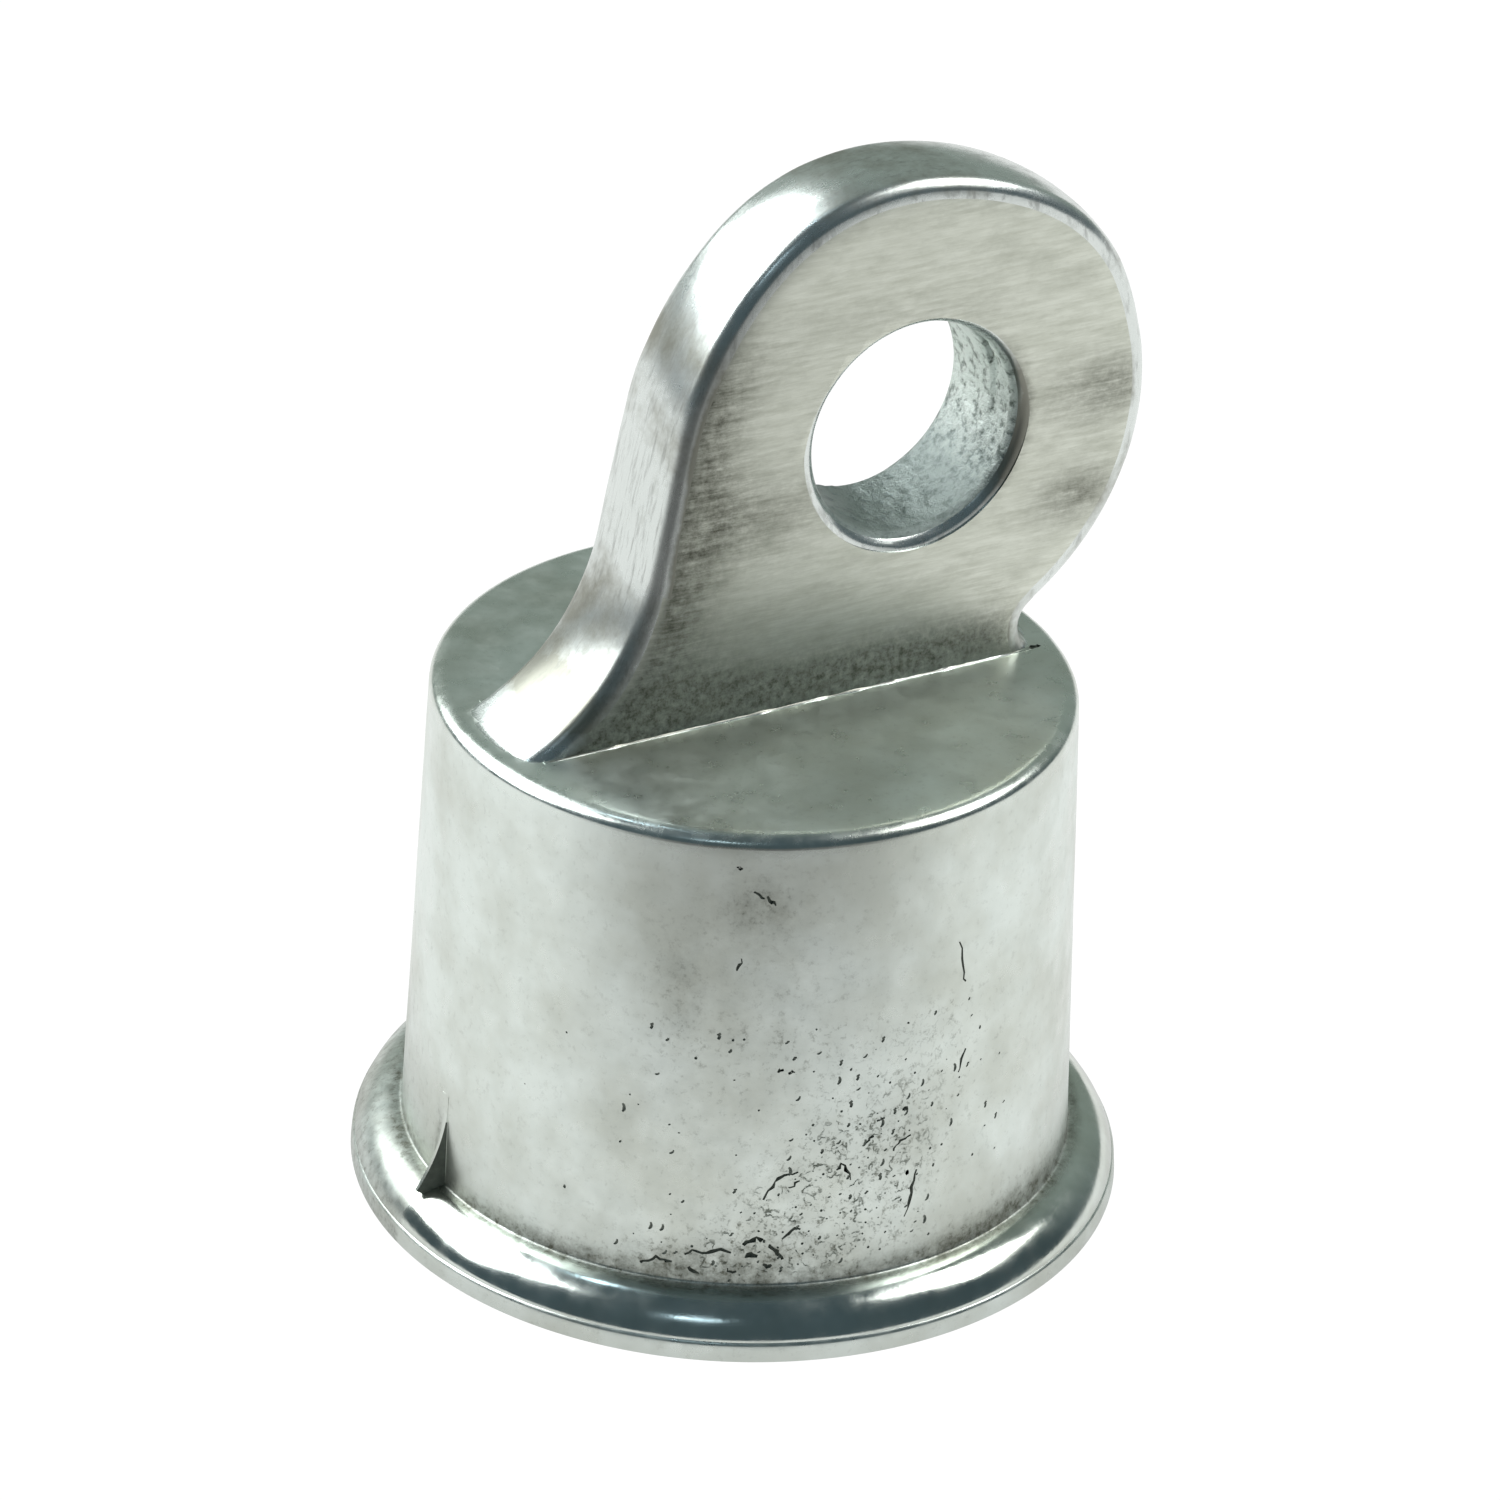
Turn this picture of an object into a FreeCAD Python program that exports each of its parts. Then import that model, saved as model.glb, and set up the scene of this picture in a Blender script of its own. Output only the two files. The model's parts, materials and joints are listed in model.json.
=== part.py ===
import FreeCAD, Part
import math
import os

# Rail end of a chain-link fence: a single aluminium casting.
# A round cup, closed at the top and open at the bottom, slips over the end of a fence rail. A flat
# eye stands on the closed end, set off towards +X, and takes the carriage bolt of a brace band.
# Frame: origin at the centre of the cup's mouth, +Z along the cup's axis towards the eye. The eye
# lies flat in the XZ plane, and its bolt hole runs along Y.

Vector = FreeCAD.Vector

# Driving dimensions, in millimetres and degrees.

# Rail and socket
rail_diameter = 34.9        # outside of the 1 3/8 in fence rail
socket_clearance = 0.15     # radial gap between rail and socket
socket_depth = 30.3
socket_lead = 0.5           # chamfer at the mouth that guides the rail in
socket_corner = 1.0         # fillet between the socket's wall and its end

# Cup
end_wall = 2.8              # closed end, above the socket
wall_at_end = 1.7           # side wall next to the closed end
wall_at_flange = 2.85       # side wall where it meets the flange
rim_round = 0.8             # rounded edge of the closed end

# Flange round the mouth: a quarter-round bead that stands on a narrow flaring land
flange_height = 3.45
bead_reach = 2.85           # how far the bead stands out from the wall
land_height = 1.35
land_flare = 0.2            # how much wider the land is at the mouth than under the bead

# Eye and the flat tongue that carries it
eye_radius = 16.15
eye_offset = 8.0            # from the cup's axis, towards +X
eye_lift = 0.0              # gap between the eye's round outline and the closed end
tongue_base = 8.3           # thickness where the tongue leaves the closed end
face_taper = 1.25           # each face leans in by this angle, towards the top
edge_round = 1.2            # rounded outline of the tongue, front and back

# Left flank, which leans out and then flares to the cup's rim
flank_lean = 11.0           # away from the cup's axis
flare_radius = 14.5
foot_inset = 0.2            # how far the feet stop short of the cup's rounded rim

# Bolt hole, cored wide so that the bolt's square neck goes in as well as its shank
bolt_diameter = 9.525       # 3/8 in carriage bolt
bolt_clearance = 1.9        # radial
hole_chamfer = 1.0

# Web on the parting line, between the side wall and the flange, at -X
web_height = 5.5            # above the flange
web_radius = 11.0           # hollow curve of the web's edge
web_thickness = 2.0

# Sizes that follow from them.

cup_height = socket_depth + end_wall
socket_radius = rail_diameter / 2 + socket_clearance
end_radius = socket_radius + wall_at_end
foot_radius = socket_radius + wall_at_flange
bead_radius = foot_radius + bead_reach
land_radius = bead_radius + land_flare
hole_radius = bolt_diameter / 2 + bolt_clearance

eye_height = cup_height + eye_radius + eye_lift
taper_slope = math.tan(math.radians(face_taper))
reach = eye_height + 2 * eye_radius     # a length past every edge, for cutting tools
root_depth = end_wall / 2               # how far the tongue runs down into the closed end


def wall_radius(z):
    """Outer radius of the tapered side wall at a height."""
    share = (z - flange_height) / (cup_height - flange_height)
    return foot_radius + (end_radius - foot_radius) * share


def half_thickness(z):
    """Half the tongue's thickness at a height."""
    return tongue_base / 2 - taper_slope * (z - cup_height)


def line(start, end):
    return Part.makeLine(Vector(*start), Vector(*end))


def arc(centre, radius, from_angle, to_angle):
    """Arc in the XZ plane, by its centre (x, z) and two angles in radians from +X towards +Z."""
    points = []
    for angle in (from_angle, (from_angle + to_angle) / 2, to_angle):
        x = centre[0] + radius * math.cos(angle)
        z = centre[1] + radius * math.sin(angle)
        points.append(Vector(x, 0, z))
    return Part.Arc(*points).toShape()


def ends(edges):
    """First and last point of a chain of edges that were made in order."""
    return edges[0].valueAt(edges[0].FirstParameter), edges[-1].valueAt(edges[-1].LastParameter)


def revolved(edges):
    """Solid of revolution about Z from a closed chain of edges in the XZ plane."""
    face = Part.Face(Part.Wire(Part.__sortEdges__(edges)))
    return face.revolve(Vector(0, 0, 0), Vector(0, 0, 1), 360)


def cup_body():
    """Outside of the cup and its flange, still solid inside."""
    wall_top = cup_height - rim_round
    flat_radius = end_radius - rim_round
    bead_drop = flange_height - land_height
    slant = bead_drop / math.sqrt(2)
    bead = Part.Arc(
        Vector(bead_radius, 0, land_height),
        Vector(foot_radius + bead_reach / math.sqrt(2), 0, land_height + slant),
        Vector(foot_radius, 0, flange_height),
    )
    rim = arc((flat_radius, wall_top), rim_round, 0, math.pi / 2)
    profile = [
        line((0, 0, 0), (land_radius, 0, 0)),
        line((land_radius, 0, 0), (bead_radius, 0, land_height)),
        bead.toShape(),
        line((foot_radius, 0, flange_height), (end_radius, 0, wall_top)),
        rim,
        line((flat_radius, 0, cup_height), (0, 0, cup_height)),
        line((0, 0, cup_height), (0, 0, 0)),
    ]
    return revolved(profile)


def socket():
    """Space inside the cup that the rail fills, with a lead-in chamfer and a filleted end."""
    corner = arc((socket_radius - socket_corner, socket_depth - socket_corner), socket_corner, 0, math.pi / 2)
    profile = [
        line((0, 0, 0), (socket_radius + socket_lead, 0, 0)),
        line((socket_radius + socket_lead, 0, 0), (socket_radius, 0, socket_lead)),
        line((socket_radius, 0, socket_lead), (socket_radius, 0, socket_depth - socket_corner)),
        corner,
        line((socket_radius - socket_corner, 0, socket_depth), (0, 0, socket_depth)),
        line((0, 0, socket_depth), (0, 0, 0)),
    ]
    return revolved(profile)


def tongue_outline():
    """Front view of the tongue: neck at the right, round eye, leaning flank and flare at the left.

    Both feet stand on the flat of the closed end, just inside its rounded rim.
    """
    flat_radius = end_radius - rim_round
    foot_reach = math.sqrt(flat_radius**2 - (tongue_base / 2) ** 2) - foot_inset
    eye = (eye_offset, eye_height)
    rise = eye_height - cup_height

    # The neck's hollow is tangent to the eye and to the closed end, at the right foot.
    run = foot_reach - eye_offset
    neck_radius = (run**2 + rise**2 - eye_radius**2) / (2 * (rise + eye_radius))
    neck = (foot_reach, cup_height + neck_radius)
    neck_angle = math.atan2(neck[1] - eye[1], neck[0] - eye[0])

    # The flank is tangent to the eye, and the flare is tangent to the flank and ends at the left foot.
    lean = math.radians(flank_lean)
    outward = (-math.cos(lean), math.sin(lean))
    down = (-math.sin(lean), -math.cos(lean))
    top = (eye[0] + eye_radius * outward[0], eye[1] + eye_radius * outward[1])
    gap = (-foot_reach - top[0], cup_height - top[1])
    along = gap[0] * down[0] + gap[1] * down[1]
    across = gap[0] * outward[0] + gap[1] * outward[1]
    flank_length = along - math.sqrt(across * (2 * flare_radius - across))
    turn = (top[0] + flank_length * down[0], top[1] + flank_length * down[1])
    flare = (turn[0] + flare_radius * outward[0], turn[1] + flare_radius * outward[1])
    foot_angle = math.atan2(cup_height - flare[1], -foot_reach - flare[0])

    outline = [
        arc(neck, neck_radius, -math.pi / 2, neck_angle - math.pi),
        arc(eye, eye_radius, neck_angle, math.pi - lean),
        line((top[0], 0, top[1]), (turn[0], 0, turn[1])),
        arc(flare, flare_radius, -lean, foot_angle),
    ]
    return outline


def tongue():
    """Flat tongue with a rounded outline and faces that lean in towards the top."""
    outline = tongue_outline()
    right_foot, left_foot = ends(outline)
    root = cup_height - root_depth
    right_root = (right_foot.x, 0, root)
    left_root = (left_foot.x, 0, root)
    outline += [
        line(tuple(left_foot), left_root),
        line(left_root, right_root),
        line(right_root, tuple(right_foot)),
    ]
    face = Part.Face(Part.Wire(Part.__sortEdges__(outline)))
    face.translate(Vector(0, -reach / 2, 0))
    prism = face.extrude(Vector(0, reach, 0))

    low = root - 1
    high = eye_height + eye_radius + 1
    section = [
        Vector(-reach, -half_thickness(low), low),
        Vector(-reach, -half_thickness(high), high),
        Vector(-reach, half_thickness(high), high),
        Vector(-reach, half_thickness(low), low),
    ]
    wedge = Part.Face(Part.makePolygon(section + section[:1])).extrude(Vector(2 * reach, 0, 0))
    body = prism.common(wedge)
    return body.makeFillet(edge_round, outline_edges(body))


def outline_edges(body):
    """Edges of the tongue's outline on both faces, above its feet."""
    found = []
    for edge in body.Edges:
        box = edge.BoundBox
        if box.ZMax > cup_height + 0.01 and box.YMin * box.YMax > 0:
            found.append(edge)
    return found


def bolt_hole():
    """Tool that cuts the bolt hole and the chamfer at each end of it."""
    centre = Vector(eye_offset, 0, eye_height)
    along = Vector(0, 1, 0)
    tool = Part.makeCylinder(hole_radius, reach, centre - along * (reach / 2), along)
    mouth = half_thickness(eye_height)
    for way in (-1, 1):
        inner = centre + along * way * (mouth - hole_chamfer)
        # The cone runs on past the face by one more chamfer, so that it cuts the tapered face cleanly.
        cone = Part.makeCone(hole_radius, hole_radius + 2 * hole_chamfer, 2 * hole_chamfer, inner, along * way)
        tool = tool.fuse(cone)
    return tool


def web():
    """Thin web between the side wall and the flange, on the parting line at -X."""
    top = flange_height + web_height
    slope = (foot_radius - end_radius) / (cup_height - flange_height)
    tilt = math.atan(slope)
    start = (wall_radius(top), top)
    centre = (start[0] + web_radius * math.cos(tilt), start[1] + web_radius * math.sin(tilt))
    from_angle = math.pi + tilt
    bottom = land_height
    to_angle = 2 * math.pi - math.acos((bead_radius - centre[0]) / web_radius)
    edge = arc(centre, web_radius, from_angle, to_angle)
    first, last = ends([edge])
    inside = socket_radius + wall_at_end / 2
    section = [
        edge,
        line(tuple(last), (last.x, 0, bottom)),
        line((last.x, 0, bottom), (inside, 0, bottom)),
        line((inside, 0, bottom), (inside, 0, top)),
        line((inside, 0, top), tuple(first)),
    ]
    face = Part.Face(Part.Wire(Part.__sortEdges__(section)))
    face.translate(Vector(0, -web_thickness / 2, 0))
    plate = face.extrude(Vector(0, web_thickness, 0))
    plate.rotate(Vector(0, 0, 0), Vector(0, 0, 1), 180)
    return plate


def rail_end_casting():
    """The whole casting: cup, web and tongue in one piece, then the socket and the bolt hole."""
    body = cup_body().fuse(tongue()).fuse(web())
    body = body.cut(socket()).cut(bolt_hole())
    return body.removeSplitter().Solids[0]


os.makedirs("parts", exist_ok=True)
casting = rail_end_casting()
casting.exportStep("parts/rail_end_casting.step")
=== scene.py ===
import json
import math
import random

import bmesh
import bpy
import numpy as np
from mathutils import Matrix, Vector, noise
from mathutils.geometry import delaunay_2d_cdt


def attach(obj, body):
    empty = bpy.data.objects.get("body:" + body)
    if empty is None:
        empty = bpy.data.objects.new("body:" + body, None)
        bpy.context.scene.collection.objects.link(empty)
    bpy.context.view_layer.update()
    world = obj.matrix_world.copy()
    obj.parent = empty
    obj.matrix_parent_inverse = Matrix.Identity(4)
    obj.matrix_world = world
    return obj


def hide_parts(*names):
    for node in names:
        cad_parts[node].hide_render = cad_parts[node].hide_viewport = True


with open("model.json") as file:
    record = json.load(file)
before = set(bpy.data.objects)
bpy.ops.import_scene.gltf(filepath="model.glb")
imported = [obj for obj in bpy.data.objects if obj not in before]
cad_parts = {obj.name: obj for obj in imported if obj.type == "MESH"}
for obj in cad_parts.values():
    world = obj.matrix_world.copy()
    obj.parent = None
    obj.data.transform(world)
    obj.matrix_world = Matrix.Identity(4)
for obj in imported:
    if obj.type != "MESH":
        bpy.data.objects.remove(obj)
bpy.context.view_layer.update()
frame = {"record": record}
mounts = {mount["name"]: mount for mount in frame["record"]["mounts"]}
MM = 0.001

# ---------------------------------------------------------------------------------------------------
# Camera: a long lens that looks down on the front of the eye from the left, turned a little clockwise.

VIEW_AZIMUTH = math.radians(-30.484)
VIEW_ELEVATION = math.radians(29.354)
VIEW_ROLL = math.radians(2.688)
VIEW_DISTANCE = 410.36 * MM
AIM_HEIGHT = 16.562 * MM
AIM_RIGHT = 0.386 * MM
AIM_UP = 9.981 * MM
LENS = 163.05
SENSOR_WIDTH = 36.0

level_right = Vector((math.cos(VIEW_AZIMUTH), math.sin(VIEW_AZIMUTH), 0))
back = Vector((
    math.sin(VIEW_AZIMUTH) * math.cos(VIEW_ELEVATION),
    -math.cos(VIEW_AZIMUTH) * math.cos(VIEW_ELEVATION),
    math.sin(VIEW_ELEVATION),
))
level_up = back.cross(level_right)
camera_right = level_right * math.cos(VIEW_ROLL) + level_up * math.sin(VIEW_ROLL)
camera_up = level_up * math.cos(VIEW_ROLL) - level_right * math.sin(VIEW_ROLL)
aim = Vector((0, 0, AIM_HEIGHT)) + camera_right * AIM_RIGHT + camera_up * AIM_UP

camera = bpy.data.objects.new("camera", bpy.data.cameras.new("camera"))
camera.data.sensor_width = SENSOR_WIDTH
camera.data.lens = LENS
camera.data.clip_start = 10 * MM
turn = Matrix((camera_right, camera_up, back)).transposed().to_4x4()
camera.matrix_world = Matrix.Translation(aim + back * VIEW_DISTANCE) @ turn
bpy.context.collection.objects.link(camera)
bpy.context.scene.camera = camera

# ---------------------------------------------------------------------------------------------------
# Cup: the round part of the casting. It is turned from one section: mouth, land, bead, tapered wall,
# rounded rim, closed end, and the socket inside. Its wall is a little uneven, as a sand mould leaves it.

CUP_HEIGHT = 33.1
SOCKET_DEPTH = 30.3
SOCKET_RADIUS = mounts["pipe_socket"]["dims"]["r_mm"]
SOCKET_LEAD = 0.5
SOCKET_CORNER = 1.0
END_RADIUS = 19.3
FOOT_RADIUS = 20.45
FLANGE_HEIGHT = 3.45
BEAD_RADIUS = 23.3
LAND_HEIGHT = 1.35
BEAD_START = 20
LAND_RADIUS = 23.5
LAND_ROUND = 0.2
RIM_FALL = 0.8
RIM_WIDTH = 1.1
TURN_STEPS = 330
bead_rise = (FLANGE_HEIGHT - LAND_HEIGHT) / (1 - math.sin(math.radians(BEAD_START)))
BEAD_SIZE = ((BEAD_RADIUS - FOOT_RADIUS) / math.cos(math.radians(BEAD_START)), bead_rise)
BEAD_CENTRE = (FOOT_RADIUS, FLANGE_HEIGHT - bead_rise)


def arc_points(centre, radii, start, stop, count):
    """Points of an elliptical arc between two angles in degrees, both ends included."""
    angles = np.radians(np.linspace(start, stop, count))
    return [(centre[0] + radii[0] * math.cos(a), centre[1] + radii[1] * math.sin(a)) for a in angles]


def line_points(start, stop, count):
    """Points between two ends, neither of them included."""
    shares = np.linspace(0, 1, count + 2)[1:-1]
    return [(start[0] + (stop[0] - start[0]) * s, start[1] + (stop[1] - start[1]) * s) for s in shares]


def cup_section():
    """Section of the cup as (radius, height) points, from the axis inside, round the mouth, to the top."""
    corner = (SOCKET_RADIUS - SOCKET_CORNER, SOCKET_DEPTH - SOCKET_CORNER)
    points = [(0, SOCKET_DEPTH)]
    points += line_points((0, SOCKET_DEPTH), (corner[0], SOCKET_DEPTH), 9)
    points += arc_points(corner, (SOCKET_CORNER, SOCKET_CORNER), 90, 0, 5)
    points += line_points(points[-1], (SOCKET_RADIUS, SOCKET_LEAD), 20)
    points += [(SOCKET_RADIUS, SOCKET_LEAD), (SOCKET_RADIUS + SOCKET_LEAD - 0.1, 0.06)]
    points += [(SOCKET_RADIUS + SOCKET_LEAD, 0)]
    land_edge = LAND_RADIUS - LAND_ROUND
    points += line_points(points[-1], (land_edge, 0), 7)
    points += [(land_edge, 0)]
    points += arc_points((land_edge, LAND_ROUND), (LAND_ROUND, LAND_ROUND), -60, 0, 3)
    points += [(LAND_RADIUS - 0.02, 0.7), (LAND_RADIUS - 0.05, 1.1), (LAND_RADIUS - 0.12, LAND_HEIGHT - 0.1)]
    points += [(BEAD_RADIUS, LAND_HEIGHT - 0.04)]
    points += arc_points(BEAD_CENTRE, BEAD_SIZE, BEAD_START, 86, 20)
    wall_foot = (FOOT_RADIUS - 0.01, FLANGE_HEIGHT + 0.16)
    wall_top = (END_RADIUS, CUP_HEIGHT - RIM_FALL)
    points += [(FOOT_RADIUS + 0.09, FLANGE_HEIGHT), (FOOT_RADIUS + 0.02, FLANGE_HEIGHT + 0.06), wall_foot]
    points += line_points(wall_foot, wall_top, 48)
    points += arc_points((END_RADIUS - RIM_WIDTH, wall_top[1]), (RIM_WIDTH, RIM_FALL), 0, 90, 11)
    points += line_points(points[-1], (0, CUP_HEIGHT), 20)
    points += [(0, CUP_HEIGHT)]
    return points


def bridge(shape, lower, upper):
    """Joins two rings of points with faces. Either ring may be a single point on the axis."""
    count = max(len(lower), len(upper))
    for step in range(count):
        after = (step + 1) % count
        if len(lower) == 1:
            corners = (lower[0], upper[after], upper[step])
        elif len(upper) == 1:
            corners = (lower[step], lower[after], upper[0])
        else:
            corners = (lower[step], lower[after], upper[after], upper[step])
        shape.faces.new(corners)


def finished(shape, name):
    """Turns a shape's faces outwards and gives it back as a mesh."""
    bmesh.ops.recalc_face_normals(shape, faces=shape.faces)
    mesh = bpy.data.meshes.new(name)
    shape.to_mesh(mesh)
    shape.free()
    return mesh


def lathe(name, section):
    """Closed mesh of a section turned about Z. Its first and last points lie on the axis."""
    shape = bmesh.new()
    rings = []
    for radius, height in section:
        if radius == 0:
            rings.append([shape.verts.new((0, 0, height * MM))])
            continue
        ring = []
        for step in range(TURN_STEPS):
            angle = 2 * math.pi * step / TURN_STEPS
            x, y = radius * math.cos(angle), radius * math.sin(angle)
            ring.append(shape.verts.new((x * MM, y * MM, height * MM)))
        rings.append(ring)
    for lower, upper in zip(rings, rings[1:]):
        bridge(shape, lower, upper)
    return finished(shape, name)


def as_object(mesh):
    """Puts a mesh in the scene, at the origin."""
    thing = bpy.data.objects.new(mesh.name, mesh)
    bpy.context.collection.objects.link(thing)
    return thing


cup = as_object(lathe("cup_blank", cup_section()))

# ---------------------------------------------------------------------------------------------------
# Tongue and eye: a flat plate that grows out of the closed end, with a rounded outline and faces that
# lean in towards the top. Its outline was dressed by hand, so the eye is a little out of round.

HOLE_X, _, HOLE_Z = [value / MM for value in mounts["bolt_hole"]["pos_m"]]
HOLE_RADIUS = mounts["bolt_hole"]["dims"]["r_mm"]
EYE_RADIUS = 16.15
EYE = np.array([HOLE_X, HOLE_Z])
TONGUE_BASE = 8.3
FACE_TAPER = math.radians(1.25)
EDGE_ROUND = 0.95
EDGE_EASE = 0.13
EDGE_CROWN = 0.24
FOOT_CROWN = 0.55
FLANK_LEAN = math.radians(11.0)
FLARE_RADIUS = 14.5
FOOT_REACH = 17.83
NECK_RADIUS = 1.46
ROOT_DEPTH = 2.6
OUTLINE_STEP = 0.38
NET_SPACING = 0.85
DRESSING = 0.2


def half_thickness(height):
    """Half the tongue's thickness at a height."""
    return TONGUE_BASE / 2 - math.tan(FACE_TAPER) * (height - CUP_HEIGHT)


def dressing(angle):
    """How far hand dressing left the eye's outline proud of its circle, at an angle in degrees."""
    window = min(max((angle - 10) / 20, 0), 1) * min(max((178 - angle) / 20, 0), 1)
    return DRESSING * window * math.cos(math.radians(angle - 36) * 360 / 78)


def tongue_outline():
    """Outline above the closed end as (point, outward normal) pairs, from the right foot to the left."""
    neck = np.array([FOOT_REACH, CUP_HEIGHT + NECK_RADIUS])
    neck_angle = math.degrees(math.atan2(neck[1] - EYE[1], neck[0] - EYE[0]))
    lean = math.degrees(FLANK_LEAN)
    outward = np.array([-math.cos(FLANK_LEAN), math.sin(FLANK_LEAN)])
    down = np.array([-math.sin(FLANK_LEAN), -math.cos(FLANK_LEAN)])
    top = EYE + EYE_RADIUS * outward
    gap = np.array([-FOOT_REACH, CUP_HEIGHT]) - top
    along, across = gap @ down, gap @ outward
    flank_length = along - math.sqrt(across * (2 * FLARE_RADIUS - across))
    flare = top + flank_length * down + FLARE_RADIUS * outward
    foot = np.array([-FOOT_REACH, CUP_HEIGHT]) - flare
    foot_angle = math.degrees(math.atan2(foot[1], foot[0]))
    pairs = []

    def add_arc(centre, radius, start, stop, way):
        """Adds an arc between two angles in degrees. Its normals point away from the metal."""
        count = max(3, round(abs(math.radians(stop - start)) * radius / OUTLINE_STEP))
        for angle in np.linspace(start, stop, count + 1)[1:]:
            unit = np.array([math.cos(math.radians(angle)), math.sin(math.radians(angle))])
            proud = dressing(angle) if way > 0 else 0.0
            pairs.append((centre + (radius + proud) * unit, way * unit))

    pairs.append((np.array([FOOT_REACH, CUP_HEIGHT]), np.array([0.0, 1.0])))
    add_arc(neck, NECK_RADIUS, -90, neck_angle - 180, -1)
    add_arc(EYE, EYE_RADIUS, neck_angle, 180 - lean, 1)
    steps = round(flank_length / OUTLINE_STEP)
    for step in range(1, steps):
        pairs.append((top + down * flank_length * step / steps, outward))
    add_arc(flare, FLARE_RADIUS, -lean, foot_angle, -1)
    return pairs


def foot_share(point):
    """Share from 0 to 1 of how near an outline point is to the left foot, where the edge is fuller."""
    below_eye = (46 - point[1]) / 9
    left = (-4 - point[0]) / 4
    above_end = (point[1] - CUP_HEIGHT - 0.6) / 2.5
    return max(min(below_eye, left, above_end, 1), 0)


def tongue_mesh():
    """Closed mesh of the tongue: side rows, rounded rows and two faces filled with a fine net."""
    pairs = tongue_outline()
    for x in np.linspace(-FOOT_REACH, FOOT_REACH, 44):
        pairs.append((np.array([x, CUP_HEIGHT - ROOT_DEPTH]), np.zeros(2)))

    rows = []
    drop = EDGE_ROUND + EDGE_EASE
    rounds = []
    for angle in np.radians(np.linspace(4, 80, 8)):
        inset = EDGE_CROWN + EDGE_ROUND * (1 - math.cos(angle))
        rounds.append((inset, EDGE_EASE + EDGE_ROUND * (1 - math.sin(angle))))
    for past, ease in ((0.25, 0.45), (0.7, 0.14), (1.2, 0.0)):
        rounds.append((EDGE_CROWN + EDGE_ROUND + past, EDGE_EASE * ease))
    for inset, sunk in reversed(rounds):
        rows.append((inset, sunk, -1))
    for share in np.linspace(-1, 1, 11)[1:-1]:
        rows.append((EDGE_CROWN * abs(share)**2.5, None, share))
    for inset, sunk in rounds:
        rows.append((inset, sunk, 1))

    shape = bmesh.new()
    grid = []
    for inset, sunk, side in rows:
        ring = []
        for point, normal in pairs:
            x, z = point - normal * inset * (1 + FOOT_CROWN * foot_share(point))
            half = half_thickness(z)
            y = side * (half - drop) if sunk is None else side * (half - sunk)
            ring.append(shape.verts.new((x * MM, y * MM, z * MM)))
        grid.append(ring)
    count = len(pairs)
    for lower, upper in zip(grid, grid[1:]):
        bridge(shape, lower, upper)

    loop = [Vector((v.co.x / MM, v.co.z / MM)) for v in grid[0]]
    inner = []
    for row in range(90):
        for column in range(70):
            x = -FOOT_REACH + NET_SPACING * (column + 0.5 * (row % 2))
            z = CUP_HEIGHT - ROOT_DEPTH + NET_SPACING * (0.6 + 0.866 * row)
            inner.append((x, z))
    polygon = np.array([(p.x, p.y) for p in loop])
    inner = [p for p in inner if inside(polygon, p) and distance_to(polygon, p) > 0.45 * NET_SPACING]
    flat = loop + [Vector(p) for p in inner]
    edges = [(i, (i + 1) % count) for i in range(count)]
    verts, _, faces, origins, _, _ = delaunay_2d_cdt(flat, edges, [list(range(count))], 1, 1e-6)
    for ring, side in ((grid[0], -1), (grid[-1], 1)):
        made = []
        for index, vert in enumerate(verts):
            source = origins[index][0] if origins[index] else None
            if source is not None and source < count:
                made.append(ring[source])
            else:
                y = side * half_thickness(vert.y)
                made.append(shape.verts.new((vert.x * MM, y * MM, vert.y * MM)))
        for face in faces:
            shape.faces.new([made[i] for i in face])
    return finished(shape, "tongue_blank")


def inside(polygon, point):
    """Whether a point is inside a closed outline."""
    x, z = point
    ahead = np.roll(polygon, -1, axis=0)
    crosses = (polygon[:, 1] > z) != (ahead[:, 1] > z)
    run = ahead[:, 0] - polygon[:, 0]
    rise = np.where(ahead[:, 1] == polygon[:, 1], 1e-9, ahead[:, 1] - polygon[:, 1])
    at = polygon[:, 0] + run * (z - polygon[:, 1]) / rise
    return bool(np.count_nonzero(crosses & (x < at)) % 2)


def distance_to(polygon, point):
    """Distance from a point to the nearest corner of an outline."""
    return float(np.min(np.hypot(polygon[:, 0] - point[0], polygon[:, 1] - point[1])))


tongue = as_object(tongue_mesh())

# ---------------------------------------------------------------------------------------------------
# Web: a thin fin of metal on the mould's parting line, between the wall and the flange at -X, cast with
# the cup. Its front side is steep and its back side runs out in a hollow.

WEB_TOP = 9.5
WEB_BOTTOM = 2.2
WEB_CURVE = 10.4
WEB_RIDGE = -0.6
WEB_RIDGE_WIDTH = 0.28
WEB_LANDING = 3.15
WEB_FRONT = -0.72
WEB_REAR = 0.1
WEB_ROOT = 0.6


def wall_radius(height):
    """Outer radius of the side wall at a height."""
    share = (height - FLANGE_HEIGHT) / (CUP_HEIGHT - FLANGE_HEIGHT)
    return FOOT_RADIUS + (END_RADIUS - FOOT_RADIUS) * share


def bead_radius(height):
    """Outer radius of the bead at a height."""
    share = (height - BEAD_CENTRE[1]) / BEAD_SIZE[1]
    return FOOT_RADIUS + BEAD_SIZE[0] * math.sqrt(max(0.0, 1 - share * share))


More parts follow.
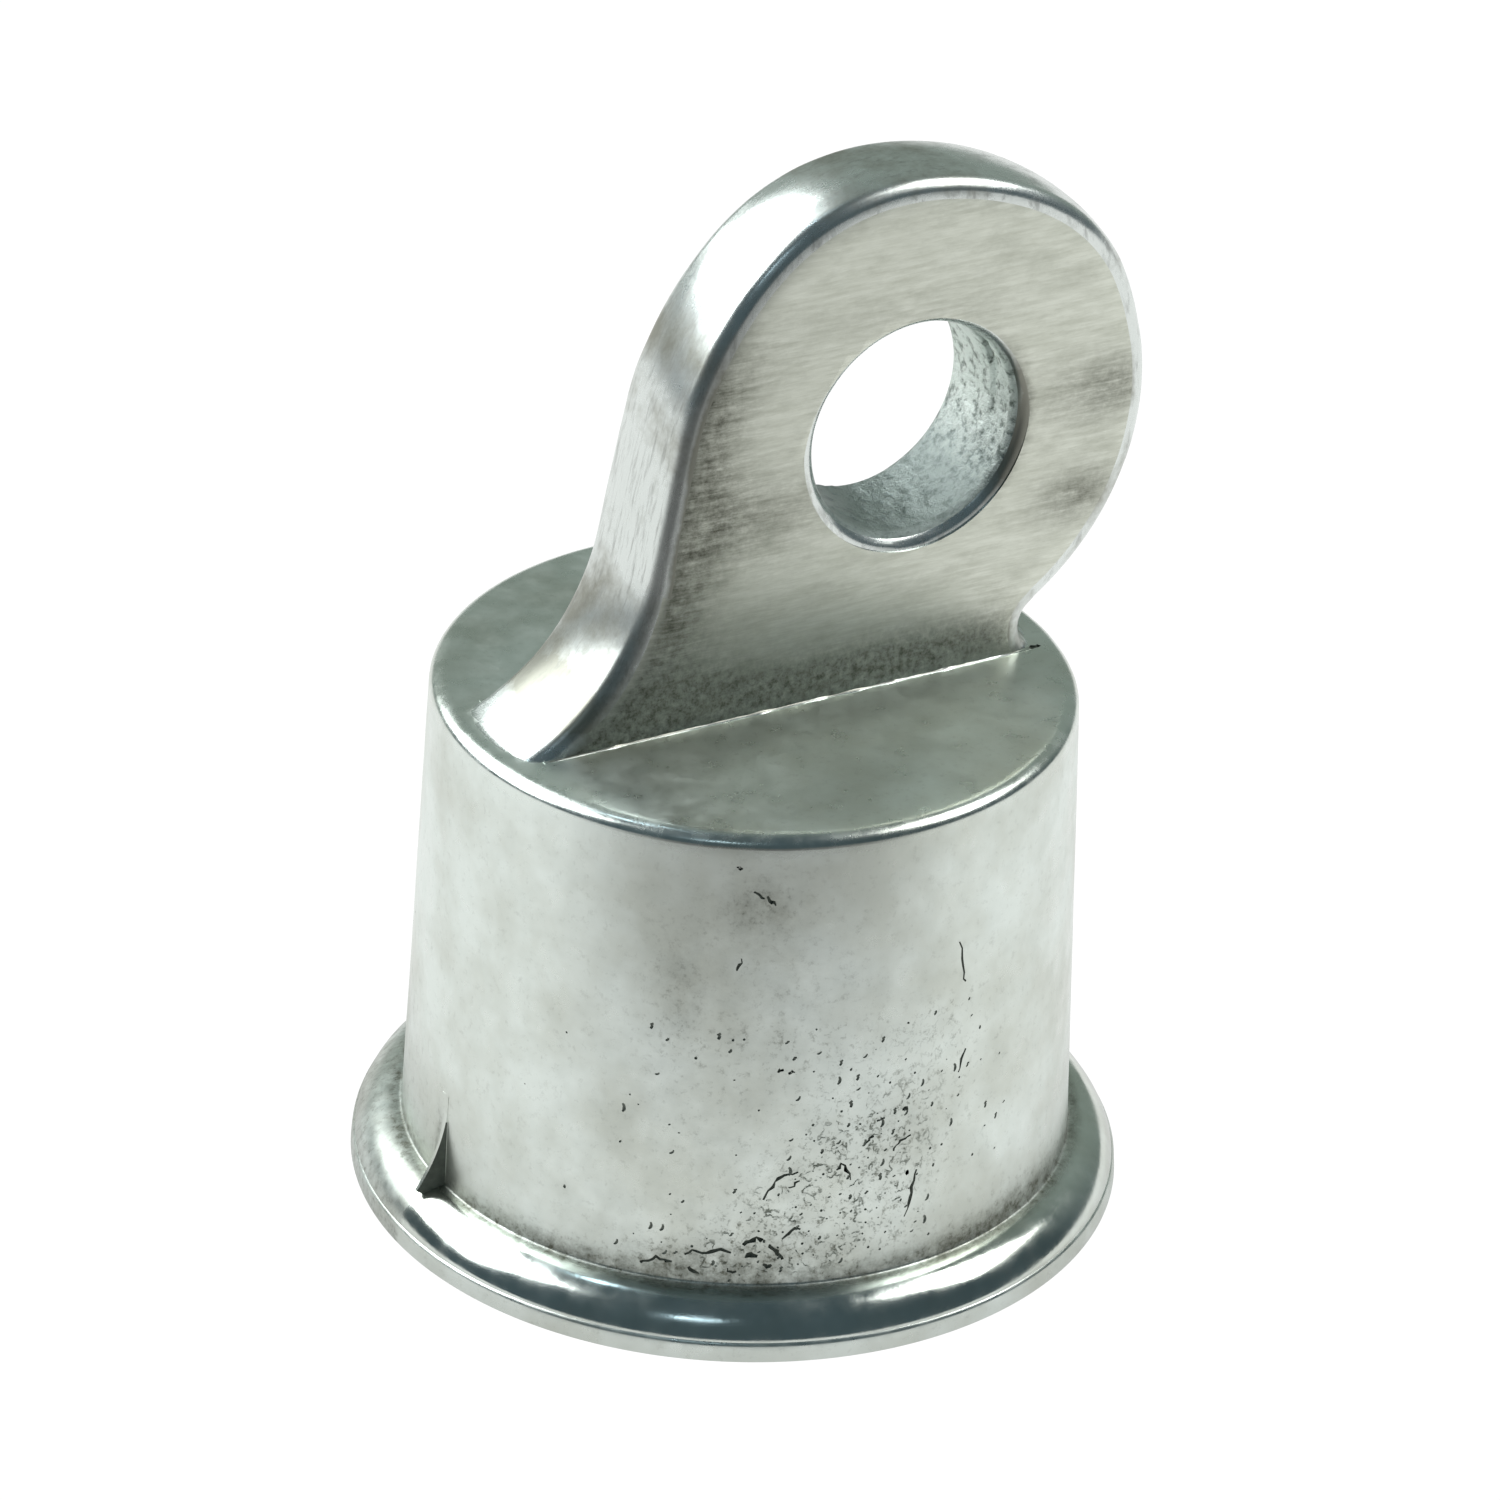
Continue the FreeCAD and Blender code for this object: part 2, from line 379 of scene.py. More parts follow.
def web_mesh():
    """Closed mesh of the web, lofted down from its thin top."""
    shape = bmesh.new()
    levels = []
    for height in np.linspace(WEB_TOP, WEB_BOTTOM, 26):
        drop = max(0.0, WEB_TOP - 0.3 - height)
        wall = wall_radius(height)
        proud = WEB_CURVE - math.sqrt(WEB_CURVE**2 - drop**2) - 0.02
        ridge = wall + proud
        if height < WEB_LANDING:
            ridge = min(ridge, bead_radius(height) - 0.05)
        spread = drop / (WEB_TOP - WEB_BOTTOM)
        front = WEB_FRONT - 0.3 * spread
        rear = WEB_REAR + 1.6 * spread
        profile = [
            (wall - WEB_ROOT, front),
            (wall - 0.02, front),
            (ridge, WEB_RIDGE - WEB_RIDGE_WIDTH / 2),
            (ridge, WEB_RIDGE + WEB_RIDGE_WIDTH / 2),
            (wall + proud * 0.45, WEB_RIDGE + 0.35 + 0.2 * spread),
            (wall + proud * 0.12, WEB_RIDGE + 0.6 + 0.8 * spread),
            (wall - WEB_ROOT, rear),
        ]
        levels.append([shape.verts.new((-r * MM, y * MM, height * MM)) for r, y in profile])
    for upper, lower in zip(levels, levels[1:]):
        bridge(shape, lower, upper)
    shape.faces.new(levels[0])
    shape.faces.new(levels[-1])
    return finished(shape, "web_blank")


web = as_object(web_mesh())

# ---------------------------------------------------------------------------------------------------
# Bolt hole: cored in the mould, so its wall is rough, with a step where the two core halves met. The
# edge at each face was eased with a rounded chamfer, more at the front than at the back.

CHAMFER = 1.05
BACK_CHAMFER = 0.5
CORE_STEP_AT = -0.9
CORE_STEP = 0.12
CORE_NOTCH = 0.42
NOTCH_ANGLE = 31
GRAIN_RADIUS = 6.6
HOLE_STEPS = 176


def hole_mesh():
    """Tool with the shape of the hole, which is cut from the tongue."""
    half = half_thickness(HOLE_Z)
    quarter = np.radians(np.linspace(88, 6, 12))
    rows = [half + 0.4] + [half - BACK_CHAMFER * (1 - math.sin(a)) for a in quarter]
    rows += list(np.linspace(half - BACK_CHAMFER, CHAMFER - half, 27))
    rows += [CHAMFER * (1 - math.sin(a)) - half for a in reversed(quarter)] + [-half - 0.4]
    shape = bmesh.new()
    rings = []
    for y in rows:
        ring = []
        chamfer = BACK_CHAMFER if y > 0 else CHAMFER
        past = max(0.0, abs(y) - (half - chamfer)) / chamfer
        for step in range(HOLE_STEPS):
            angle = 2 * math.pi * step / HOLE_STEPS
            degrees = math.degrees(angle)
            radius = HOLE_RADIUS + chamfer * (1 - math.sqrt(1 - min(past, 0.995) ** 2))
            front = min(max((CORE_STEP_AT - y) / 0.25, 0), 1)
            notch = math.exp(-(((degrees - NOTCH_ANGLE) / 16) ** 2))
            notch *= math.exp(-(((y - CORE_STEP_AT + 0.45) / 0.4) ** 2))
            if past == 0:
                radius += CORE_STEP * (front - 0.5) + CORE_NOTCH * notch
                spot = Vector((GRAIN_RADIUS * math.cos(angle), 0.55 * y, GRAIN_RADIUS * math.sin(angle)))
                radius += 0.07 * noise.noise(spot * 1.1) + 0.06 * noise.noise(spot * 2.6)
            at = (HOLE_X + radius * math.cos(angle), y, HOLE_Z + radius * math.sin(angle))
            ring.append(shape.verts.new((at[0] * MM, at[1] * MM, at[2] * MM)))
        rings.append(ring)
    for first, second in zip(rings, rings[1:]):
        bridge(shape, first, second)
    shape.faces.new(rings[0])
    shape.faces.new(rings[-1])
    return finished(shape, "hole_tool")


hole = as_object(hole_mesh())


def merged(base, tool, operation, lined=False):
    """Joins a tool to a base, or cuts it away. A lined cut keeps the tool's material."""
    step = base.modifiers.new("step", "BOOLEAN")
    step.operation = operation
    step.solver = "MANIFOLD"
    if lined:
        step.material_mode = "TRANSFER"
    step.object = tool
    evaluated = base.evaluated_get(bpy.context.evaluated_depsgraph_get())
    mesh = bpy.data.meshes.new_from_object(evaluated)
    for used in (base, tool):
        data = used.data
        bpy.data.objects.remove(used)
        bpy.data.meshes.remove(data)
    mesh.name = "casting"
    return as_object(mesh)


casting = merged(cup, tongue, "UNION")
casting = merged(casting, web, "UNION")
casting = merged(casting, hole, "DIFFERENCE")

# ---------------------------------------------------------------------------------------------------
# Base crease: where the tongue's mould half met the end of the cup, a thin raised line of metal runs
# along the foot of each face. It takes the wear, so it is bright.

CREASE_SIZE = 0.1
CREASE_ROOT = 0.3


def crease_mesh(side):
    """Closed strip along the foot of one face, a little uneven in its size."""
    shape = bmesh.new()
    rows = []
    for x in np.linspace(-FOOT_REACH + 1.6, FOOT_REACH - 1.2, 90):
        size = CREASE_SIZE * (1 + 0.9 * noise.noise(Vector((x * 0.8, side * 7, 0))))
        size *= min(1.0, (x + FOOT_REACH - 1.5) / 2, (FOOT_REACH - 1.1 - x) / 2)
        size = max(size, 0.02)
        wall = TONGUE_BASE / 2
        section = [
            (wall - CREASE_ROOT, CUP_HEIGHT - CREASE_ROOT),
            (wall + size, CUP_HEIGHT - CREASE_ROOT),
            (wall + size, CUP_HEIGHT + 0.01),
            (wall + size * 0.4, CUP_HEIGHT + size * 0.4),
            (wall, CUP_HEIGHT + size),
            (wall - CREASE_ROOT, CUP_HEIGHT + size),
        ]
        rows.append([shape.verts.new((x * MM, side * y * MM, z * MM)) for y, z in section])
    for first, second in zip(rows, rows[1:]):
        bridge(shape, first, second)
    shape.faces.new(rows[0])
    shape.faces.new(rows[-1])
    return finished(shape, "crease_blank")


for side in (-1, 1):
    casting = merged(casting, as_object(crease_mesh(side)), "UNION")

# ---------------------------------------------------------------------------------------------------
# Porosity: gas and loose sand left worm-shaped pits in the wall, most of them low down at the front.
# Geometry Nodes scatter six shapes of pit over the wall; the largest flaws are placed one by one.


def add_node(tree, kind, inputs=None, **settings):
    """Adds a node with its settings, and its inputs as values or as links from other nodes' sockets."""
    made = tree.nodes.new(kind)
    for name, value in settings.items():
        setattr(made, name, value)
    for name, value in (inputs or {}).items():
        if isinstance(value, bpy.types.NodeSocket):
            tree.links.new(value, made.inputs[name])
        else:
            made.inputs[name].default_value = value
    return made


def linear(code, alpha=1.0):
    """Linear colour of an sRGB hex code."""
    values = [int(code[i:i + 2], 16) / 255 for i in (1, 3, 5)]
    return [v / 12.92 if v <= 0.04045 else ((v + 0.055) / 1.055) ** 2.4 for v in values] + [alpha]


def new_material(name):
    """Empty node material, with its tree and output node."""
    made = bpy.data.materials.new(name)
    made.use_nodes = True
    made.node_tree.nodes.clear()
    return made, made.node_tree, made.node_tree.nodes.new("ShaderNodeOutputMaterial")


def lining(name, scale, detail, dark, light, roughness):
    """Dull material of packed dirt, mottled between two colours."""
    made, tree, output = new_material(name)
    place = add_node(tree, "ShaderNodeTexCoord")
    mottle = add_node(tree, "ShaderNodeTexNoise", {
        "Vector": place.outputs["Object"],
        "Scale": scale,
        "Detail": detail,
    })
    dirt = add_node(tree, "ShaderNodeMix", {
        0: mottle.outputs[0],
        6: linear(dark),
        7: linear(light),
    }, data_type="RGBA")
    shader = add_node(tree, "ShaderNodeBsdfPrincipled", {
        "Base Color": dirt.outputs[2],
        "Metallic": 0.25,
        "Roughness": roughness,
    })
    tree.links.new(shader.outputs[0], output.inputs[0])
    return made


# Pit lining: oxide and polishing dirt packed in the pits, which looks dark and dull against the metal.
pit_lining = lining("oxide_lined_pit", 2500.0, 2.0, "#858B82", "#AAB0A6", 0.8)
# Black lining: old oxide and wax in the deepest flaws, and painted shade on the web's steep front side.
oxide_and_shade_lining = lining("blackened_crevice", 1800.0, 3.0, "#454B42", "#7A8176", 0.7)

PIT_RADIUS = 0.0765
WORM_SIDES = 6


def worm(shape, points, radius, place_of=None):
    """Adds a closed worm along points (x, y) in a flat patch, which place_of may put on the casting."""
    rings = []
    count = len(points)
    for index, (x, y) in enumerate(points):
        before = points[max(index - 1, 0)]
        after = points[min(index + 1, count - 1)]
        way = math.atan2(after[1] - before[1], after[0] - before[0])
        share = index / (count - 1)
        size = radius * (0.35 + 0.65 * math.sin(math.pi * (0.12 + 0.76 * share)))
        size *= 1 + 1.1 * noise.noise(Vector((x * 3.3, y * 3.3, count)))
        ring = []
        for step in range(WORM_SIDES):
            angle = 2 * math.pi * (step + 0.5) / WORM_SIDES
            out = size * math.cos(angle)
            spot = (x - out * math.sin(way), y + out * math.cos(way), size * 1.1 * math.sin(angle) - 0.02)
            ring.append(shape.verts.new(place_of(spot) if place_of else [v * MM for v in spot]))
        rings.append(ring)
    for first, second in zip(rings, rings[1:]):
        bridge(shape, first, second)
    shape.faces.new(rings[0])
    shape.faces.new(rings[-1])


chance = random.Random(7)
PIT_PATHS = []
for length in (0.1, 0.12, 0.18, 0.26, 0.36, 0.48):
    steps = 3 + round(length * 6)
    path = []
    for step in range(steps):
        path.append(((step / (steps - 1) - 0.5) * length, chance.uniform(-0.16, 0.16) * min(length, 0.4)))
    PIT_PATHS.append(path)
pit_shapes = bpy.data.collections.new("pit_shapes")
for number, path in enumerate(PIT_PATHS):
    shape = bmesh.new()
    worm(shape, path, PIT_RADIUS)
    mesh = finished(shape, f"pit_shape_{number}")
    pit_shapes.objects.link(bpy.data.objects.new(mesh.name, mesh))

# Where the wall is porous: patches at an azimuth in degrees and a height, with their reach and weight.
POROUS_PATCHES = [
    (-113, 6.0, 9, 2.2, 1.0),
    (-104, 9.0, 8, 2.8, 0.95),
    (-96, 11.5, 7, 3.0, 0.7),
    (-92, 8.5, 6, 2.5, 0.5),
    (-84, 16, 8, 4, 0.3),
    (-100, 18, 14, 5, 0.3),
    (-112, 25, 10, 4, 0.3),
    (-121, 27.5, 4, 1.3, 0.6),
    (-128, 5.0, 8, 0.9, 0.7),
    (-125, 14, 16, 6, 0.12),
    (-82, 25, 6, 4, 0.3),
    (62, 9, 12, 4, 0.6),
    (128, 20, 14, 6, 0.25),
]


def patches_at(patches, x, y, z):
    """Sum of the weights of the wall's patches at a place, each fading away from its middle."""
    azimuth = math.degrees(math.atan2(y, x))
    total = 0.0
    for at, height, reach, rise, weight in patches:
        gap = (azimuth - at + 180) % 360 - 180
        total += weight * math.exp(-0.5 * ((gap / reach) ** 2 + ((z - height) / rise) ** 2))
    return total


def porous_at(x, y, z):
    """Share from 0 to 1 of how porous the wall is at a place in millimetres."""
    total = patches_at(POROUS_PATCHES, x, y, z)
    fade = min(max((z - 3.7) / 0.8, 0), 1) * min(max((31.5 - z) / 1.5, 0), 1)
    return min(total, 1.0) * fade


def on_wall(x, y, z):
    """Whether a place in millimetres lies on the cup's outer wall."""
    return FLANGE_HEIGHT + 0.2 < z < CUP_HEIGHT - RIM_FALL and abs(math.hypot(x, y) - wall_radius(z)) < 0.02


values = []
for vert in casting.data.vertices:
    x, y, z = vert.co / MM
    values.append(porous_at(x, y, z) if on_wall(x, y, z) else 0.0)
casting.data.attributes.new("porosity", "FLOAT", "POINT").data.foreach_set("value", values)

scatter = bpy.data.node_groups.new("scattered_pits", "GeometryNodeTree")
for label, kind in (
    ("Wall", "NodeSocketGeometry"),
    ("Closest", "NodeSocketFloat"),
    ("Most per square metre", "NodeSocketFloat"),
    ("Smallest", "NodeSocketFloat"),
    ("Largest", "NodeSocketFloat"),
    ("Slant", "NodeSocketFloat"),
    ("Slant spread", "NodeSocketFloat"),
    ("Seed", "NodeSocketInt"),
    ("Shapes", "NodeSocketCollection"),
    ("Lining", "NodeSocketMaterial"),
):
    scatter.interface.new_socket(label, in_out="INPUT", socket_type=kind)
scatter.interface.new_socket("Pits", in_out="OUTPUT", socket_type="NodeSocketGeometry")
given = add_node(scatter, "NodeGroupInput").outputs
porous = add_node(scatter, "GeometryNodeInputNamedAttribute", {"Name": "porosity"}, data_type="FLOAT")
spots = add_node(scatter, "GeometryNodeDistributePointsOnFaces", {
    "Mesh": given["Wall"],
    "Distance Min": given["Closest"],
    "Density Max": given["Most per square metre"],
    "Density Factor": porous.outputs[0],
    "Seed": given["Seed"],
}, distribute_method="POISSON")
outward = add_node(scatter, "FunctionNodeAlignRotationToVector", {
    "Vector": spots.outputs["Normal"],
}, axis="Z")
upright = add_node(scatter, "FunctionNodeAlignRotationToVector", {
    "Rotation": outward.outputs[0],
    "Vector": (0.0, 0.0, 1.0),
}, axis="X", pivot_axis="Z")
least = add_node(scatter, "ShaderNodeMath", {
    0: given["Slant"], 1: given["Slant spread"],
}, operation="SUBTRACT")
most = add_node(scatter, "ShaderNodeMath", {0: given["Slant"], 1: given["Slant spread"]}, operation="ADD")
slant = add_node(scatter, "FunctionNodeRandomValue", {
    2: least.outputs[0],
    3: most.outputs[0],
    "Seed": given["Seed"],
}, data_type="FLOAT")
turn = add_node(scatter, "FunctionNodeAxisAngleToRotation", {
    "Axis": (0.0, 0.0, 1.0), "Angle": slant.outputs[1],
})
turned = add_node(scatter, "FunctionNodeRotateRotation", {
    "Rotation": upright.outputs[0],
    "Rotate By": turn.outputs[0],
}, rotation_space="LOCAL")
pick = add_node(scatter, "FunctionNodeRandomValue", {
    4: 0, 5: len(PIT_PATHS) - 1, "Seed": given["Seed"],
}, data_type="INT")
size = add_node(scatter, "FunctionNodeRandomValue", {
    2: given["Smallest"],
    3: given["Largest"],
    "Seed": given["Seed"],
}, data_type="FLOAT")
shapes = add_node(scatter, "GeometryNodeCollectionInfo", {
    "Collection": given["Shapes"],
    "Separate Children": True,
    "Reset Children": True,
})
placed = add_node(scatter, "GeometryNodeInstanceOnPoints", {
    "Points": spots.outputs["Points"],
    "Instance": shapes.outputs[0],
    "Pick Instance": True,
    "Instance Index": pick.outputs[2],
    "Rotation": turned.outputs[0],
    "Scale": size.outputs[1],
})
real = add_node(scatter, "GeometryNodeRealizeInstances", {"Geometry": placed.outputs[0]})
lined = add_node(scatter, "GeometryNodeSetMaterial", {
    "Geometry": real.outputs[0], "Material": given["Lining"],
})
add_node(scatter, "NodeGroupOutput", {"Pits": lined.outputs[0]})

pitting = casting.modifiers.new("pitting", "NODES")
pitting.node_group = scatter
sockets = {item.name: item.identifier for item in scatter.interface.items_tree if item.in_out == "INPUT"}
for label, value in (
    ("Closest", 0.6 * MM),
    ("Most per square metre", 1.6e6),
    ("Smallest", 0.4),
    ("Largest", 1.15),
    ("Slant", math.radians(-35)),
    ("Slant spread", math.radians(42)),
    ("Seed", 11),
    ("Shapes", pit_shapes),
    ("Lining", pit_lining),
):
    pitting[sockets[label]] = value
evaluated = casting.evaluated_get(bpy.context.evaluated_depsgraph_get())
pits = as_object(bpy.data.meshes.new_from_object(evaluated))
pits.name = "pit_tools"
casting.modifiers.remove(pitting)

# The largest flaws, as paths of (azimuth in degrees, height) with a radius: the crack-like lines above
# the flange, a blotch of holes, an arc, a crack, and a few single holes higher up.
FLAWS = [
    ([(-135.0, 4.3), (-133.6, 4.5), (-132.4, 4.9), (-131.0, 4.75), (-129.7, 4.7)], 0.1),
    ([(-127.6, 5.3), (-126.4, 5.65), (-124.8, 5.5), (-123.2, 5.65), (-121.6, 5.85), (-120.0, 5.65)], 0.11),
    ([(-118.0, 6.2), (-117.0, 6.45), (-115.9, 6.75), (-114.9, 6.5)], 0.17),
    ([(-117.6, 5.35), (-116.6, 5.55), (-115.6, 5.45)], 0.2),
    ([(-113.6, 6.25), (-112.9, 5.9), (-112.3, 5.6), (-111.4, 5.2)], 0.2),
    ([(-114.6, 4.9), (-114.0, 4.7), (-113.2, 4.85)], 0.14),
    ([(-111.6, 6.6), (-110.6, 6.9), (-109.5, 7.3), (-108.6, 7.2)], 0.12),
    ([(-115.0, 9.3), (-114.3, 9.9), (-113.2, 10.5), (-112.0, 10.85), (-110.7, 11.0), (-109.4, 11.1)], 0.1),
    ([(-109.1, 10.5), (-109.9, 10.15), (-110.9, 10.1)], 0.12),
    ([(-88.0, 9.9), (-88.4, 9.2), (-88.8, 8.4), (-89.3, 7.7), (-90.1, 6.9)], 0.1),
    ([(-91.0, 14.2), (-90.6, 14.3), (-90.2, 14.15)], 0.19),
    ([(-95.9, 13.9), (-95.2, 14.1), (-94.5, 14.0)], 0.12),
    ([(-92.6, 11.6), (-92.1, 11.95), (-91.4, 12.2), (-90.4, 12.25), (-89.4, 12.4)], 0.13),
    ([(-97.9, 12.5), (-97.2, 12.8), (-96.4, 12.9)], 0.1),
    ([(-102.8, 11.0), (-102.1, 11.4), (-101.2, 10.9), (-100.3, 10.2)], 0.11),
    ([(-126.9, 4.45), (-126.0, 4.2), (-125.1, 4.1)], 0.14),
    ([(-120.4, 4.6), (-119.7, 4.35), (-119.0, 4.4)], 0.12),
    ([(-113.6, 17.9), (-113.1, 18.05), (-112.6, 18.0)], 0.11),
    ([(-111.5, 17.7), (-111.1, 17.85), (-110.7, 17.8)], 0.1),
    ([(-79.9, 15.6), (-79.4, 16.2), (-78.9, 16.7), (-78.4, 17.0)], 0.1),
    ([(-80.6, 24.4), (-79.9, 23.2), (-79.3, 22.2), (-78.9, 21.6)], 0.08),
    ([(-121.2, 24.5), (-120.8, 24.9), (-120.5, 25.3)], 0.12),
    ([(-118.9, 29.6), (-118.0, 29.5), (-117.1, 29.25)], 0.1),
    ([(-116.6, 29.4), (-115.8, 29.0), (-115.1, 28.8)], 0.12),
    ([(-122.0, 31.2), (-121.5, 31.1), (-121.0, 31.15)], 0.1),
]


def wall_spot(spot):
    """Place on the wall, in metres, of a point given as (degrees, height, how far proud)."""
    azimuth, height, proud = spot
    radius = wall_radius(height) + proud
    angle = math.radians(azimuth)
    return (radius * math.cos(angle) * MM, radius * math.sin(angle) * MM, height * MM)


# Distance round the wall of one degree, in millimetres, at its mean radius of 20.
DEGREE = math.radians(1) * 20
CORNER_HOLE = (16.95, -3.95)


def flaw_spot(spot):
    """The same, with the azimuth given as a distance round the wall."""
    return wall_spot((spot[0] / DEGREE, spot[1], spot[2]))


def corner_spot(spot):
    """Place, in metres, of a point of the hole in the corner between the tongue's right foot and the end."""
    x, y = CORNER_HOLE[0] + spot[0], CORNER_HOLE[1] + spot[1]
    return (x * MM, y * MM, (CUP_HEIGHT + spot[2]) * MM)


shape = bmesh.new()
for path, radius in FLAWS:
    line = []
    for (azimuth, height), (next_azimuth, next_height) in zip(path, path[1:]):
        line.append((azimuth * DEGREE, height))
        middle = ((azimuth + next_azimuth) / 2 * DEGREE, (height + next_height) / 2)
        line.append((middle[0] + chance.uniform(-0.14, 0.14), middle[1] + chance.uniform(-0.12, 0.12)))
    line.append((path[-1][0] * DEGREE, path[-1][1]))
    worm(shape, line, radius * 0.8, flaw_spot)
worm(shape, [(-0.3, -0.05), (-0.05, 0.08), (0.2, 0.0), (0.4, 0.1)], 0.2, corner_spot)
mesh = finished(shape, "flaw_tools")
mesh.materials.append(oxide_and_shade_lining)
flaws = as_object(mesh)

casting = merged(casting, pits, "DIFFERENCE", lined=True)
casting = merged(casting, flaws, "DIFFERENCE", lined=True)

# ---------------------------------------------------------------------------------------------------
# Surface of the casting: hand dressing left it slightly wavy, most of all on the eye's edge and the
# bead. The wall's front is where dirt lies, and painted shade is added to the dirt in the flange's crease,
# behind the web, along the face's left edge and on the hole's chamfer; the rim, bead and edges are
# burnished by handling.

WAVE_WALL = 0.05
WAVE_EDGE = 0.09
WAVE_BEAD = 0.07
# The dull stretch of bead beside the web lies at smaller X than this.
WEB_SIDE = -10


def ramp(value, low, high):
    """Smooth step from 0 at low to 1 at high."""
    share = min(max((value - low) / (high - low), 0.0), 1.0)
    return share * share * (3 - 2 * share)


# Dirty patches on the front and back faces: place (x, z), reach (x, z) and weight.
FACE_DIRT = [
    (-3.2, 46.0, 4.0, 1.9, 0.55),
    (-6.0, 43.0, 2.5, 4.0, 0.15),
    (21.5, 49.6, 3.2, 1.5, 0.75),
    (19.5, 42.9, 2.2, 1.3, 0.8),
    (-2.0, 34.3, 13.0, 1.5, 0.75),
    (-8.0, 36.0, 4.0, 2.2, 0.55),
    (9.0, 34.6, 8.0, 1.2, 0.55),
    (0.5, 39.5, 6.0, 1.6, 0.1),
    (8.0, 56.6, 5.0, 0.8, 0.15),
]
# The same for the tongue's edge.
EDGE_DIRT = [
    (-6.6, 56.0, 1.3, 1.6, 0.55),
    (-8.1, 52.0, 1.2, 1.0, 0.25),
    (6.0, 65.4, 7.0, 2.0, 0.35),
    (-10.8, 39.5, 1.6, 2.0, 0.45),
    (-14.3, 35.5, 1.7, 1.2, 1.1),
    (22.0, 43.0, 4.0, 4.0, 0.4),
    (18.0, 34.2, 2.0, 1.2, 0.9),
]
# Dirty patches on the wall: azimuth in degrees, height, reach (degrees, mm) and weight.
WALL_DIRT = [
    (-118, 28.6, 4.0, 1.2, 0.55),
    (-114, 23.0, 12, 4.0, 0.14),
    (-131, 22.5, 3.0, 3.0, 0.3),
    (-113, 5.3, 9.0, 1.3, 0.6),
    (-128, 4.8, 8.0, 0.8, 0.6),
    (-92, 12.8, 5.0, 2.0, 0.3),
    (-60, 4.3, 18, 0.9, 0.6),
    (-75, 4.1, 12, 0.5, 0.5),
    (-150, 3.9, 14, 0.5, 0.5),
    (40, 12, 14, 8, 0.35),
    (95, 24, 10, 4, 0.5),
    (140, 8, 16, 4, 0.45),
]


LEFT_OUTLINE = np.array([point for point, _ in tongue_outline() if point[0] < 2])


def left_gap(x, z):
    """How far a place on a face is in from where the face rolls over into the tongue's left edge."""
    gap = float(np.min(np.hypot(LEFT_OUTLINE[:, 0] - x, LEFT_OUTLINE[:, 1] - z)))
    return gap - EDGE_ROUND - EDGE_CROWN


def dirt_and_shade_at(x, y, z):
    """Share from 0 to 1 of dirt and stain, and of painted shade in some places, at a place in millimetres.
    """
    radius = math.hypot(x, y)
    if z > CUP_HEIGHT + 0.02:
        on_face = abs(y) > half_thickness(z) - 0.1
        patches = FACE_DIRT if on_face else EDGE_DIRT
        total = 0.0
        for at_x, at_z, reach_x, reach_z, weight in patches:
            gap = ((x - at_x) / reach_x) ** 2 + ((z - at_z) / reach_z) ** 2
            total += weight * math.exp(-0.5 * gap)
        # Painted shade on the hole's rounded chamfer, to the right of the hole.
        reach = math.hypot(x - HOLE_X, z - HOLE_Z)
        turn = math.degrees(math.atan2(z - HOLE_Z, x - HOLE_X))
        shade = math.exp(-((turn + 5) / 42) ** 2) * ramp(-abs(reach - HOLE_RADIUS - 0.45), -0.75, -0.3)
        # Painted shade: a dark band on the face along where it rolls over into the left edge.
        if x < HOLE_X and on_face and z < 60:
            total += 1.3 * math.exp(-((left_gap(x, z) / 2.7) ** 2)) * ramp(60 - z, 0.0, 8.0)
        return min(total + 0.9 * shade, 1.0)
    if radius < FOOT_RADIUS - 2.5:
        return 0.0
    total = patches_at(WALL_DIRT, x, y, z)
    # Grime and painted shade in the crease where the wall meets the flange.
    crease_grime_and_shade = 0.75 * math.exp(-(((z - FLANGE_HEIGHT) / 0.75) ** 2)) if radius < FOOT_RADIUS + 0.03 else 0.0
    # On the bead, grime and painted shade within a millimetre of that crease, plus a little of the wall's
    # dirt.
    bead = 0.8 * ramp(FOOT_RADIUS + 1.1 - radius, 0.0, 0.8) + 0.1 * total
    if x < WEB_SIDE:
        bead += 0.5 * ramp(y, WEB_RIDGE - 0.3, WEB_RIDGE + 0.1)
        # Painted shade and dirt in the hollow behind the web.
        total += 0.8 * math.exp(-(((y - 0.15) / 0.45) ** 2)) * ramp(WEB_TOP - z, 0.3, 3.0)
    return min(total + crease_grime_and_shade if z > FLANGE_HEIGHT + 0.02 else bead, 1.0)


def burnish_at(x, y, z):
    """Share from 0 to 1 of how bright handling has rubbed the metal at a place in millimetres."""
    radius = math.hypot(x, y)
    if z > CUP_HEIGHT + 0.02:
        return 0.0
    bead = ramp(radius, FOOT_RADIUS + 0.1, FOOT_RADIUS + 0.7) * ramp(z, LAND_HEIGHT - 0.1, LAND_HEIGHT + 0.2)
    if x < WEB_SIDE:
        bead *= 1 - 0.85 * ramp(y, WEB_RIDGE - 0.4, WEB_RIDGE + 0.1)
    rim = ramp(radius, END_RADIUS - RIM_WIDTH - 0.3, END_RADIUS - RIM_WIDTH + 0.5)
    return max(bead, 0.5 * rim * ramp(z, CUP_HEIGHT - RIM_FALL - 0.3, CUP_HEIGHT - RIM_FALL + 0.1))


def is_socket(x, y, z):
    """Whether a place in millimetres is on the inside of the cup."""
    return math.hypot(x, y) < SOCKET_RADIUS + 0.02 and z < SOCKET_DEPTH + 0.02


